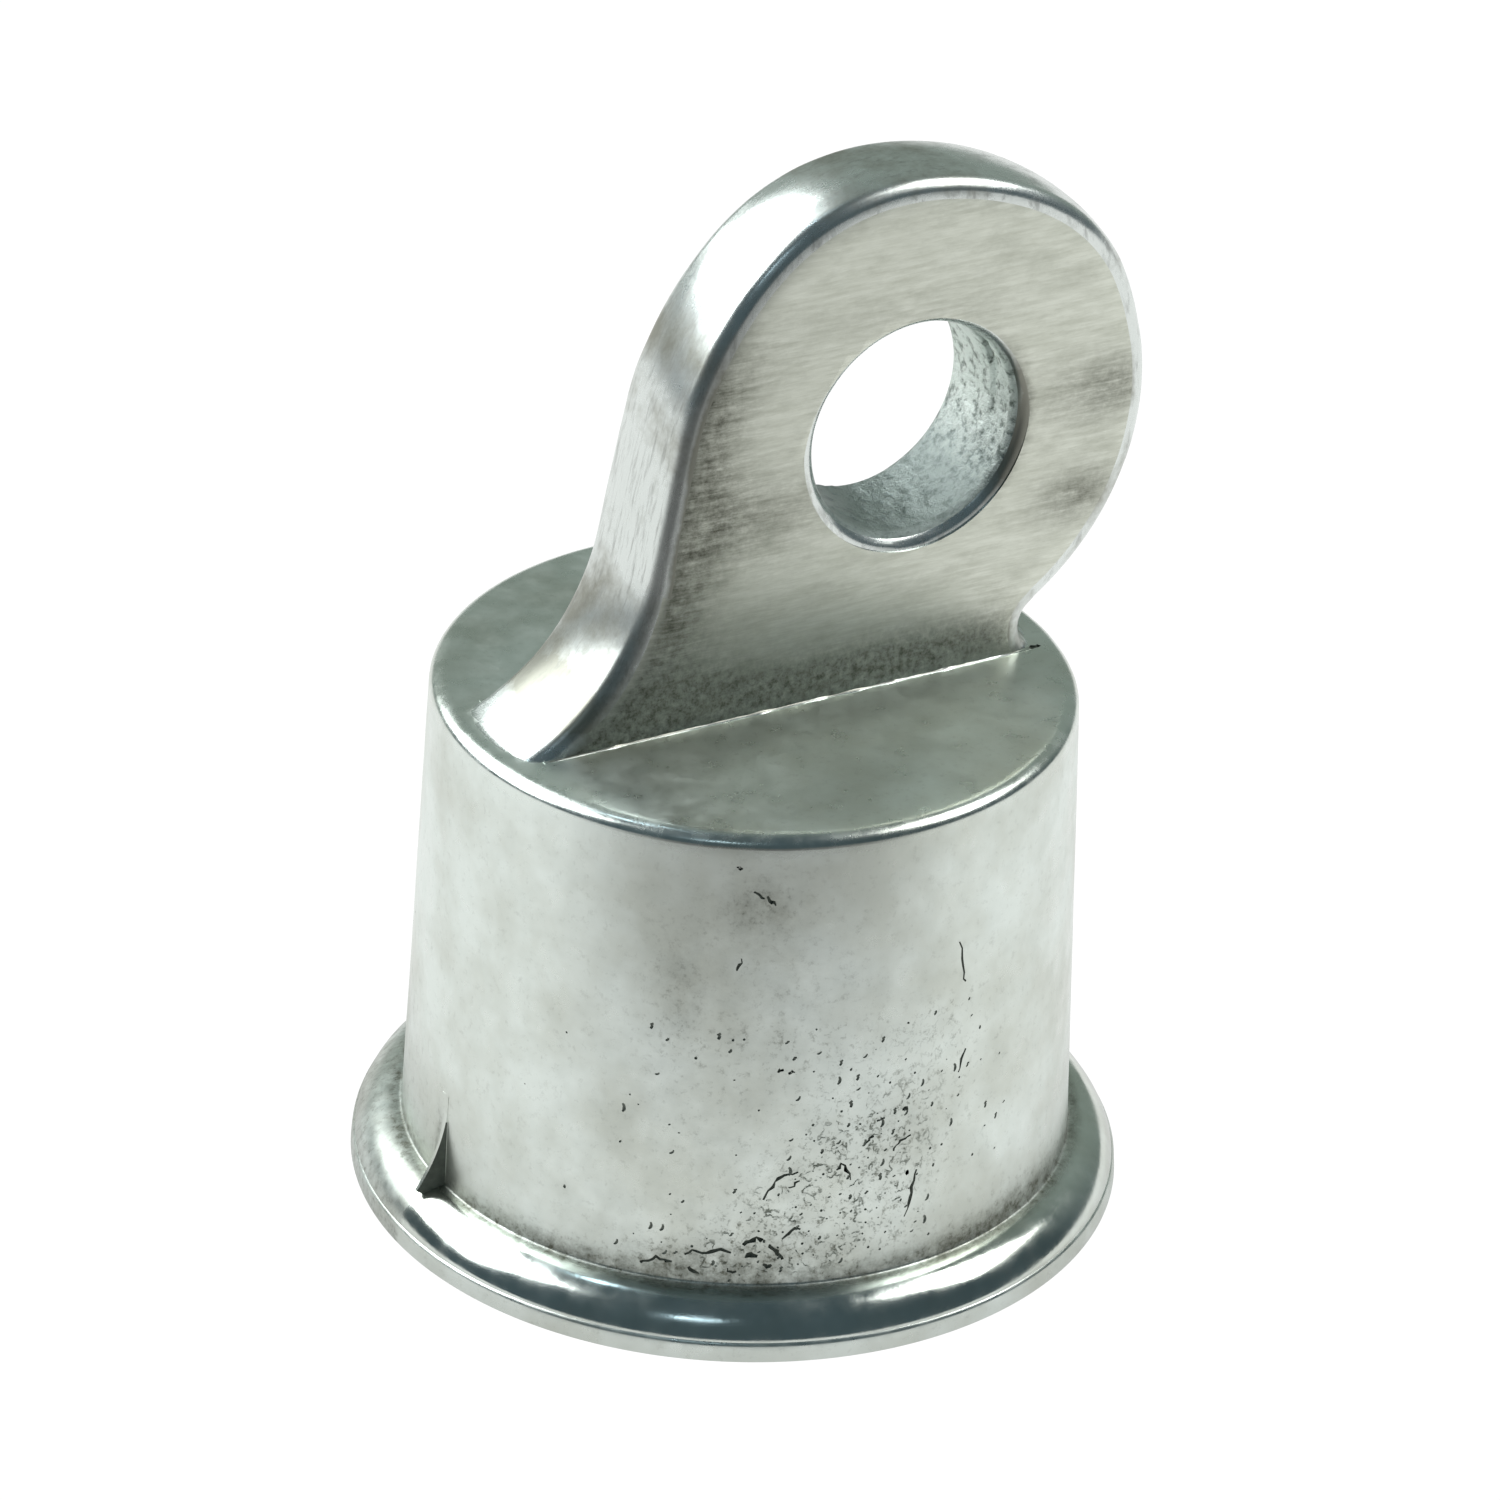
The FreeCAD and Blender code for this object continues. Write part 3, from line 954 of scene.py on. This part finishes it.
dirt = []
burnish = []
for vert in casting.data.vertices:
    x, y, z = vert.co / MM
    dirt.append(0.0 if is_socket(x, y, z) else dirt_and_shade_at(x, y, z))
    burnish.append(0.0 if is_socket(x, y, z) else burnish_at(x, y, z))
casting.data.attributes.new("dirt", "FLOAT", "POINT").data.foreach_set("value", dirt)
casting.data.attributes.new("burnish", "FLOAT", "POINT").data.foreach_set("value", burnish)


def in_painted_web_shade(x, y, z):
    """Whether a place in millimetres is on the web's steep side, clear of the wall, where the black lining
    is painted shade.
    """
    across = -1.5 < y < WEB_RIDGE - 0.1
    return x < 0 and across and WEB_BOTTOM < z < WEB_TOP - 1 and math.hypot(x, y) > wall_radius(z) + 0.04


TUMBLED, FACE, EDGE, BORE, SOCKET, PIT, OXIDE_AND_SHADE = range(7)
zones = []
for face in casting.data.polygons:
    x, y, z = face.center / MM
    if casting.data.materials[face.material_index] == pit_lining:
        zone = PIT
    elif casting.data.materials[face.material_index] == oxide_and_shade_lining:
        zone = OXIDE_AND_SHADE
    # The web's steep front side gets the black lining as painted shade.
    elif in_painted_web_shade(x, y, z) and face.normal.y < -0.6:
        zone = OXIDE_AND_SHADE
    elif is_socket(x, y, z):
        zone = SOCKET
    elif z < CUP_HEIGHT + 0.03:
        zone = TUMBLED
    elif math.hypot(x - HOLE_X, z - HOLE_Z) < HOLE_RADIUS + 0.3:
        zone = BORE
    elif abs(face.normal.y) > 0.985:
        zone = FACE
    else:
        zone = EDGE
    zones.append(zone)

places = [vert.co.copy() for vert in casting.data.vertices]
normals = [vert.normal.copy() for vert in casting.data.vertices]
for number, (at, normal) in enumerate(zip(places, normals)):
    x, y, z = at / MM
    if is_socket(x, y, z) or z < 0.3:
        continue
    if z > CUP_HEIGHT + 0.02:
        on_face = abs(y) > half_thickness(z) - 0.25
        size = WAVE_WALL * 0.5 if on_face else WAVE_EDGE
    elif z < FLANGE_HEIGHT + 0.3:
        size = WAVE_BEAD
    else:
        size = WAVE_WALL
    size *= ramp(z, 0.3, 1.0)
    spot = Vector((x, y, z))
    wave = noise.noise(spot * 0.16) * 0.75 + noise.noise(spot * 0.42 + Vector((9, 4, 2))) * 0.3
    if z > FLANGE_HEIGHT + 0.3:
        wave += noise.noise(spot * 1.1 + Vector((3, 1, 7))) * 0.07
    places[number] = at - normal * size * (0.5 + 0.5 * wave) * MM
casting.data.vertices.foreach_set("co", np.array(places, dtype=np.float32).ravel())
casting.data.update()


def millimetres(tree):
    """Place on the piece in millimetres, for patterns of a known size."""
    place = add_node(tree, "ShaderNodeTexCoord")
    scaled = add_node(tree, "ShaderNodeVectorMath", {
        0: place.outputs["Object"],
        "Scale": 1000.0,
    }, operation="SCALE")
    return scaled.outputs[0]


def bare_metal(tree, output, colour, roughness, height, depth):
    """Bare metal with a relief whose full height is a depth in metres."""
    bump = add_node(tree, "ShaderNodeBump", {"Height": height, "Strength": 1.0, "Distance": depth})
    shader = add_node(tree, "ShaderNodeBsdfPrincipled", {
        "Base Color": colour,
        "Metallic": 1.0,
        "Roughness": roughness,
        "Normal": bump.outputs[0],
    })
    tree.links.new(shader.outputs[0], output.inputs[0])


# Tumbled cast aluminium: sand cast, then tumbled clean. It looks pale and satin, cloudy over a few
# millimetres, with dark specks where it is porous and a brighter gleam where hands have rubbed it.
tumbled, tree, output = new_material("tumbled_cast_aluminium")
mm = millimetres(tree)
porous = add_node(tree, "ShaderNodeAttribute", attribute_name="porosity").outputs["Fac"]
dirt_and_shade_fac = add_node(tree, "ShaderNodeAttribute", attribute_name="dirt").outputs["Fac"]
rubbed = add_node(tree, "ShaderNodeAttribute", attribute_name="burnish").outputs["Fac"]
# Clouds of 6 to 10 mm: uneven tumbling.
clouds = add_node(tree, "ShaderNodeTexNoise", {
    "Vector": mm, "Scale": 0.13, "Detail": 4.0, "Roughness": 0.62,
})
cloud = add_node(tree, "ShaderNodeMapRange", {0: clouds.outputs[0], 1: 0.38, 2: 0.64})
metal = add_node(tree, "ShaderNodeMix", {
    0: cloud.outputs[0], 6: linear("#DEE6E0"), 7: linear("#CBD1C8"),
}, data_type="RGBA")
# Specks of 0.2 to 0.5 mm: the mouths of pores too small to model.
specks = add_node(tree, "ShaderNodeTexNoise", {"Vector": mm, "Scale": 1.9, "Detail": 5.0, "Roughness": 0.78})
speck = add_node(tree, "ShaderNodeMapRange", {0: specks.outputs[0], 1: 0.55, 2: 0.7})
where = add_node(tree, "ShaderNodeMath", {0: porous, 1: 0.95, 2: 0.2}, operation="MULTIPLY_ADD")
also = add_node(tree, "ShaderNodeMath", {0: dirt_and_shade_fac, 1: 0.9, 2: where.outputs[0]}, operation="MULTIPLY_ADD")
not_rubbed = add_node(tree, "ShaderNodeMath", {0: 1.0, 1: rubbed}, operation="SUBTRACT")
there = add_node(tree, "ShaderNodeMath", {
    0: also.outputs[0], 1: not_rubbed.outputs[0],
}, operation="MULTIPLY")
specked = add_node(tree, "ShaderNodeMath", {
    0: speck.outputs[0], 1: there.outputs[0],
}, operation="MULTIPLY", use_clamp=True)
metal = add_node(tree, "ShaderNodeMix", {
    0: specked.outputs[0], 6: metal.outputs[2], 7: linear("#7E8279"),
}, data_type="RGBA")
# Worming: crooked grooves 0.1 to 0.3 mm wide in the porous skin, broken up into short runs.
folds = add_node(tree, "ShaderNodeTexNoise", {"Vector": mm, "Scale": 1.0, "Detail": 2.5, "Roughness": 0.6})
middle = add_node(tree, "ShaderNodeMath", {0: folds.outputs[0], 1: 0.5}, operation="SUBTRACT")
level = add_node(tree, "ShaderNodeMath", {0: middle.outputs[0]}, operation="ABSOLUTE")
lines = add_node(tree, "ShaderNodeMapRange", {0: level.outputs[0], 1: 0.012, 2: 0.036, 3: 1.0, 4: 0.0})
breaks = add_node(tree, "ShaderNodeTexNoise", {"Vector": mm, "Scale": 1.1, "Detail": 3.0, "Roughness": 0.7})
broken = add_node(tree, "ShaderNodeMapRange", {0: breaks.outputs[0], 1: 0.46, 2: 0.6})
parts = add_node(tree, "ShaderNodeMath", {0: lines.outputs[0], 1: broken.outputs[0]}, operation="MULTIPLY")
often = add_node(tree, "ShaderNodeMapRange", {0: porous, 1: 0.35, 2: 0.95, 3: 0.0, 4: 0.9})
worming = add_node(tree, "ShaderNodeMath", {
    0: parts.outputs[0], 1: often.outputs[0],
}, operation="MULTIPLY", use_clamp=True)
metal = add_node(tree, "ShaderNodeMix", {
    0: worming.outputs[0], 6: metal.outputs[2], 7: linear("#5F655B"),
}, data_type="RGBA")
# Dirt and brown stain, uneven over 1 to 3 mm, with painted shade in the flange's crease, on the bead beside
# it and behind the web.
stains = add_node(tree, "ShaderNodeTexNoise", {"Vector": mm, "Scale": 0.95, "Detail": 6.0, "Roughness": 0.8})
stain = add_node(tree, "ShaderNodeMapRange", {0: stains.outputs[0], 1: 0.36, 2: 0.66, 3: 0.25, 4: 1.0})
stain_and_shade = add_node(tree, "ShaderNodeMath", {
    0: stain.outputs[0], 1: dirt_and_shade_fac,
}, operation="MULTIPLY", use_clamp=True)
metal = add_node(tree, "ShaderNodeMix", {
    0: stain_and_shade.outputs[0], 6: metal.outputs[2], 7: linear("#67685C"),
}, data_type="RGBA")
# Roughness: satin, down to a gleam where it is rubbed, and dull in the dirt.
grain = add_node(tree, "ShaderNodeTexNoise", {"Vector": mm, "Scale": 0.55, "Detail": 4.0, "Roughness": 0.65})
satin = add_node(tree, "ShaderNodeMapRange", {0: grain.outputs[0], 1: 0.35, 2: 0.65, 3: 0.27, 4: 0.4})
gleam = add_node(tree, "ShaderNodeMapRange", {0: grain.outputs[0], 1: 0.35, 2: 0.65, 3: 0.11, 4: 0.21})
rough = add_node(tree, "ShaderNodeMix", {
    0: rubbed, 2: satin.outputs[0], 3: gleam.outputs[0],
}, data_type="FLOAT")
dull = add_node(tree, "ShaderNodeMath", {
    0: stain_and_shade.outputs[0], 1: 0.15, 2: rough.outputs[0],
}, operation="MULTIPLY_ADD")
# Relief: 5 micron tumbling texture, and the worming sunk 25 microns.
pebble = add_node(tree, "ShaderNodeTexNoise", {"Vector": mm, "Scale": 2.6, "Detail": 3.0, "Roughness": 0.6})
relief = add_node(tree, "ShaderNodeMath", {
    0: worming.outputs[0], 1: -5.0, 2: pebble.outputs[0],
}, operation="MULTIPLY_ADD")
bare_metal(tree, output, metal.outputs[2], dull.outputs[0], relief.outputs[0], 0.000005)

# Linished aluminium face: rubbed flat on a belt, with fine grey streaks along X and dark smears between.
linished, tree, output = new_material("linished_aluminium_face")
mm = millimetres(tree)
dirt_and_shade_fac = add_node(tree, "ShaderNodeAttribute", attribute_name="dirt").outputs["Fac"]
# Streaks 0.25 mm wide and about 2.5 mm long, wider than the real 0.05 mm belt marks so that they show.
along = add_node(tree, "ShaderNodeMapping", {
    "Vector": mm, "Rotation": (0.0, 0.03, 0.0), "Scale": (0.24, 0.4, 2.3),
})
streaks = add_node(tree, "ShaderNodeTexNoise", {
    "Vector": along.outputs[0], "Scale": 1.6, "Detail": 5.0, "Roughness": 0.75,
})
streak = add_node(tree, "ShaderNodeMapRange", {0: streaks.outputs[0], 1: 0.36, 2: 0.66})
metal = add_node(tree, "ShaderNodeMix", {
    0: streak.outputs[0], 6: linear("#DADED2"), 7: linear("#CBCFC1"),
}, data_type="RGBA")
# Bands 1 to 2 mm wide: smears of grey aluminium dust.
wide = add_node(tree, "ShaderNodeMapping", {
    "Vector": mm, "Rotation": (0.0, -0.04, 0.0), "Scale": (0.22, 0.2, 0.42),
})
bands = add_node(tree, "ShaderNodeTexNoise", {
    "Vector": wide.outputs[0], "Scale": 1.3, "Detail": 5.0, "Roughness": 0.68,
})
band = add_node(tree, "ShaderNodeMapRange", {0: bands.outputs[0], 1: 0.48, 2: 0.72, 3: 0.0, 4: 0.4})
metal = add_node(tree, "ShaderNodeMix", {
    0: band.outputs[0], 6: metal.outputs[2], 7: linear("#A6AA9C"),
}, data_type="RGBA")
# Dirt, and painted shade along the face's left edge, broken up by the streaks and by 0.5 mm mottling.
mottles = add_node(tree, "ShaderNodeTexNoise", {
    "Vector": mm, "Scale": 1.7, "Detail": 5.0, "Roughness": 0.75,
})
axes = add_node(tree, "ShaderNodeSeparateXYZ", {0: mm})
low = add_node(tree, "ShaderNodeMapRange", {
    0: axes.outputs["Z"], 1: CUP_HEIGHT + 2.2, 2: CUP_HEIGHT + 5.0, 3: 0.0, 4: 0.45,
})
mixed = add_node(tree, "ShaderNodeMix", {
    0: low.outputs[0], 2: mottles.outputs[0], 3: streaks.outputs[0],
}, data_type="FLOAT")
uneven = add_node(tree, "ShaderNodeMapRange", {0: mixed.outputs[0], 1: 0.34, 2: 0.64, 3: 0.25, 4: 1.0})
stain_and_shade = add_node(tree, "ShaderNodeMath", {
    0: uneven.outputs[0], 1: dirt_and_shade_fac,
}, operation="MULTIPLY", use_clamp=True)
metal = add_node(tree, "ShaderNodeMix", {
    0: stain_and_shade.outputs[0], 6: metal.outputs[2], 7: linear("#66675C"),
}, data_type="RGBA")
satin = add_node(tree, "ShaderNodeMapRange", {0: streaks.outputs[0], 1: 0.35, 2: 0.65, 3: 0.3, 4: 0.4})
dull = add_node(tree, "ShaderNodeMath", {
    0: stain_and_shade.outputs[0], 1: 0.12, 2: satin.outputs[0],
}, operation="MULTIPLY_ADD")
bare_metal(tree, output, metal.outputs[2], dull.outputs[0], mixed.outputs[0], 0.0000018)

# Dressed aluminium edge: filed and buffed by hand round the eye and down the neck. It gleams in broad
# patches, with brownish ones between, and lengthwise marks where the buff ran.
dressed, tree, output = new_material("dressed_aluminium_edge")
mm = millimetres(tree)
# Brownish patches of 3 to 6 mm with frayed edges, and painted shade on the hole's chamfer, right of the
# hole.
patches = add_node(tree, "ShaderNodeTexNoise", {
    "Vector": mm, "Scale": 0.23, "Detail": 6.0, "Roughness": 0.7,
})
smudge_and_shade = add_node(tree, "ShaderNodeAttribute", attribute_name="dirt").outputs["Fac"]
frayed = add_node(tree, "ShaderNodeMath", {
    0: smudge_and_shade, 1: 0.5, 2: patches.outputs[0],
}, operation="MULTIPLY_ADD")
patch = add_node(tree, "ShaderNodeMapRange", {0: frayed.outputs[0], 1: 0.56, 2: 0.86})
metal = add_node(tree, "ShaderNodeMix", {
    0: patch.outputs[0], 6: linear("#DCE2DE"), 7: linear("#9A9B90"),
}, data_type="RGBA")
# Buff marks, 0.3 mm wide and 4 mm long.
run = add_node(tree, "ShaderNodeMapping", {
    "Vector": mm, "Rotation": (0.0, 0.35, 0.0), "Scale": (0.9, 2.2, 0.22),
})
marks = add_node(tree, "ShaderNodeTexNoise", {
    "Vector": run.outputs[0], "Scale": 1.3, "Detail": 4.0, "Roughness": 0.7,
})
mark = add_node(tree, "ShaderNodeMapRange", {0: marks.outputs[0], 1: 0.52, 2: 0.68, 3: 0.0, 4: 0.5})
metal = add_node(tree, "ShaderNodeMix", {
    0: mark.outputs[0], 6: metal.outputs[2], 7: linear("#8B8D88"),
}, data_type="RGBA")
gleam = add_node(tree, "ShaderNodeMapRange", {0: frayed.outputs[0], 1: 0.45, 2: 0.9, 3: 0.24, 4: 0.36})
rough = add_node(tree, "ShaderNodeMath", {
    0: mark.outputs[0], 1: 0.12, 2: gleam.outputs[0],
}, operation="MULTIPLY_ADD")
dents = add_node(tree, "ShaderNodeTexNoise", {"Vector": mm, "Scale": 1.1, "Detail": 4.0, "Roughness": 0.6})
relief = add_node(tree, "ShaderNodeMath", {
    0: marks.outputs[0], 1: 0.4, 2: dents.outputs[0],
}, operation="MULTIPLY_ADD")
bare_metal(tree, output, metal.outputs[2], rough.outputs[0], relief.outputs[0], 0.00001)

# Cored bore: the sand core left the hole's wall rough and grainy; its colour is painted shade, light on the
# high spots of the grain and dark in its low spots.
cored, tree, output = new_material("sand_cored_bore")
mm = millimetres(tree)
sand = add_node(tree, "ShaderNodeTexNoise", {"Vector": mm, "Scale": 1.5, "Detail": 6.0, "Roughness": 0.7})
low = add_node(tree, "ShaderNodeMapRange", {0: sand.outputs[0], 1: 0.36, 2: 0.5, 3: 1.0, 4: 0.0})
metal = add_node(tree, "ShaderNodeMix", {
    0: low.outputs[0], 6: linear("#CBD3CD"), 7: linear("#747C75"),
}, data_type="RGBA")
# Greyer towards the bottom of the hole.
axes = add_node(tree, "ShaderNodeSeparateXYZ", {0: mm})
ragged = add_node(tree, "ShaderNodeMath", {
    0: sand.outputs[0], 1: 5.0, 2: axes.outputs["Z"],
}, operation="MULTIPLY_ADD")
greyer_low_in_hole = add_node(tree, "ShaderNodeMapRange", {
    0: ragged.outputs[0], 1: HOLE_Z - 2.2, 2: HOLE_Z + 1.2, 3: 0.75, 4: 0.0,
})
metal = add_node(tree, "ShaderNodeMix", {
    0: greyer_low_in_hole.outputs[0], 6: metal.outputs[2], 7: linear("#7F8A87"),
}, data_type="RGBA")
bare_metal(tree, output, metal.outputs[2], 0.42, sand.outputs[0], 0.00022)

# As-cast socket: the core's sand grain is left as it was, dull grey and finely pebbled.
as_cast, tree, output = new_material("as_cast_socket")
mm = millimetres(tree)
sand = add_node(tree, "ShaderNodeTexNoise", {"Vector": mm, "Scale": 1.8, "Detail": 4.0, "Roughness": 0.65})
# Painted shade: the grey is darker in the low spots of the grain and lighter on its high spots.
tone = add_node(tree, "ShaderNodeMapRange", {0: sand.outputs[0], 1: 0.35, 2: 0.65})
metal = add_node(tree, "ShaderNodeMix", {
    0: tone.outputs[0], 6: linear("#8E918C"), 7: linear("#B5B8B2"),
}, data_type="RGBA")
bare_metal(tree, output, metal.outputs[2], 0.52, sand.outputs[0], 0.0001)

casting.data.materials.clear()
for finish in (tumbled, linished, dressed, cored, as_cast, pit_lining, oxide_and_shade_lining):
    casting.data.materials.append(finish)
casting.data.polygons.foreach_set("material_index", zones)
casting.data.shade_smooth()
casting.data.set_sharp_from_angle(angle=math.radians(38))
casting.name = "rail_end"

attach(casting, "root")
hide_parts("rail_end_casting")

# ---------------------------------------------------------------------------------------------------
# Stage: a pale glowing sweep, big soft lamps at the right and the back left, and a dim room behind the
# camera.
# In what the metal reflects, the sweep has painted shade towards the camera and a painted shadow close
# under the flange.

stage_mesh = bpy.data.meshes.new("floor")
FLOOR_REACH = 6.0
corners = [(x * FLOOR_REACH, y * FLOOR_REACH, 0) for x, y in ((-1, -1), (1, -1), (1, 1), (-1, 1))]
stage_mesh.from_pydata(corners, [], [(0, 1, 2, 3)])
floor = as_object(stage_mesh)

SHADED_SIDE = math.radians(-118)
paper, tree, output = new_material("white_paper_sweep")
place = add_node(tree, "ShaderNodeTexCoord")
seen = add_node(tree, "ShaderNodeLightPath")
way = add_node(tree, "ShaderNodeVectorMath", {0: place.outputs["Object"]}, operation="NORMALIZE")
toward = add_node(tree, "ShaderNodeVectorMath", {
    0: way.outputs[0],
    1: (math.cos(SHADED_SIDE), math.sin(SHADED_SIDE), 0.0),
}, operation="DOT_PRODUCT")
near = add_node(tree, "ShaderNodeMapRange", {
    0: toward.outputs["Value"], 1: 0.35, 2: 1.0,
}, interpolation_type="SMOOTHSTEP")
distance = add_node(tree, "ShaderNodeVectorMath", {0: place.outputs["Object"]}, operation="LENGTH")
far = add_node(tree, "ShaderNodeMapRange", {0: distance.outputs["Value"], 1: 0.03, 2: 0.13})
shaded = add_node(tree, "ShaderNodeMath", {0: near.outputs[0], 1: far.outputs[0]}, operation="MULTIPLY")
light = add_node(tree, "ShaderNodeMapRange", {0: shaded.outputs[0], 1: 0.0, 2: 1.0, 3: 1.0, 4: 0.12})
# Painted shadow on the sweep close under the flange, seen only in reflections.
painted_contact_shadow = add_node(tree, "ShaderNodeMapRange", {
    0: distance.outputs["Value"], 1: 0.022, 2: 0.034, 3: 0.7, 4: 1.0,
})
lit = add_node(tree, "ShaderNodeMath", {0: light.outputs[0], 1: painted_contact_shadow.outputs[0]}, operation="MULTIPLY")
glow = add_node(tree, "ShaderNodeMix", {
    0: seen.outputs["Is Camera Ray"], 2: lit.outputs[0], 3: 1.05,
}, data_type="FLOAT")
shader = add_node(tree, "ShaderNodeEmission", {"Color": linear("#FFFFFF"), "Strength": glow.outputs[0]})
tree.links.new(shader.outputs[0], output.inputs[0])
floor.data.materials.append(paper)

world = bpy.data.worlds.new("studio")
world.use_nodes = True
bpy.context.scene.world = world
tree = world.node_tree
tree.nodes.clear()
seen = add_node(tree, "ShaderNodeLightPath")
place = add_node(tree, "ShaderNodeTexCoord")
toward = add_node(tree, "ShaderNodeVectorMath", {
    0: place.outputs["Generated"],
    1: Vector((0.46, 0.84, 0.28)).normalized(),
}, operation="DOT_PRODUCT")
side = add_node(tree, "ShaderNodeMapRange", {
    0: toward.outputs["Value"], 1: 0.25, 2: 1.0,
}, interpolation_type="SMOOTHSTEP")
room = add_node(tree, "ShaderNodeMix", {
    0: side.outputs[0], 6: linear("#46545A"), 7: linear("#8D9892"),
}, data_type="RGBA")
shade = add_node(tree, "ShaderNodeBackground", {"Color": room.outputs[2], "Strength": 1.0})
white = add_node(tree, "ShaderNodeBackground", {"Color": linear("#FFFFFF"), "Strength": 1.0})
mixed = add_node(tree, "ShaderNodeMixShader", {
    0: seen.outputs["Is Camera Ray"], 1: shade.outputs[0], 2: white.outputs[0],
})
add_node(tree, "ShaderNodeOutputWorld", {0: mixed.outputs[0]})

LAMP_TARGET = Vector((0, 0, 0.03))
# Lamps: direction (azimuth, elevation), distance, size, power in watts and colour.
LAMPS = [
    ("right_softbox", (-20, 49), 0.55, (0.28, 0.26), 1.55, "#FFFFFF"),
    ("left_softbox", (134, 40), 0.55, (0.58, 0.40), 4.0, "#FBFDFF"),
    ("front_spark", (-131, 44), 0.60, (0.07, 0.04), 0.06, "#CFE6F5"),
    ("top_spark", (122, 71), 0.60, (0.05, 0.04), 0.06, "#CFE6F5"),
]
for name, (azimuth, elevation), distance, size, power, tint in LAMPS:
    lamp = bpy.data.lights.new(name, "AREA")
    lamp.shape = "RECTANGLE"
    lamp.size, lamp.size_y = size
    lamp.energy = power
    lamp.color = linear(tint)[:3]
    thing = bpy.data.objects.new(name, lamp)
    round_z, above = math.radians(azimuth), math.radians(elevation)
    flat = math.cos(above)
    way = Vector((flat * math.cos(round_z), flat * math.sin(round_z), math.sin(above)))
    thing.location = LAMP_TARGET + way * distance
    thing.rotation_euler = way.to_track_quat("Z", "Y").to_euler()
    bpy.context.collection.objects.link(thing)

bpy.context.scene.view_settings.view_transform = "Standard"
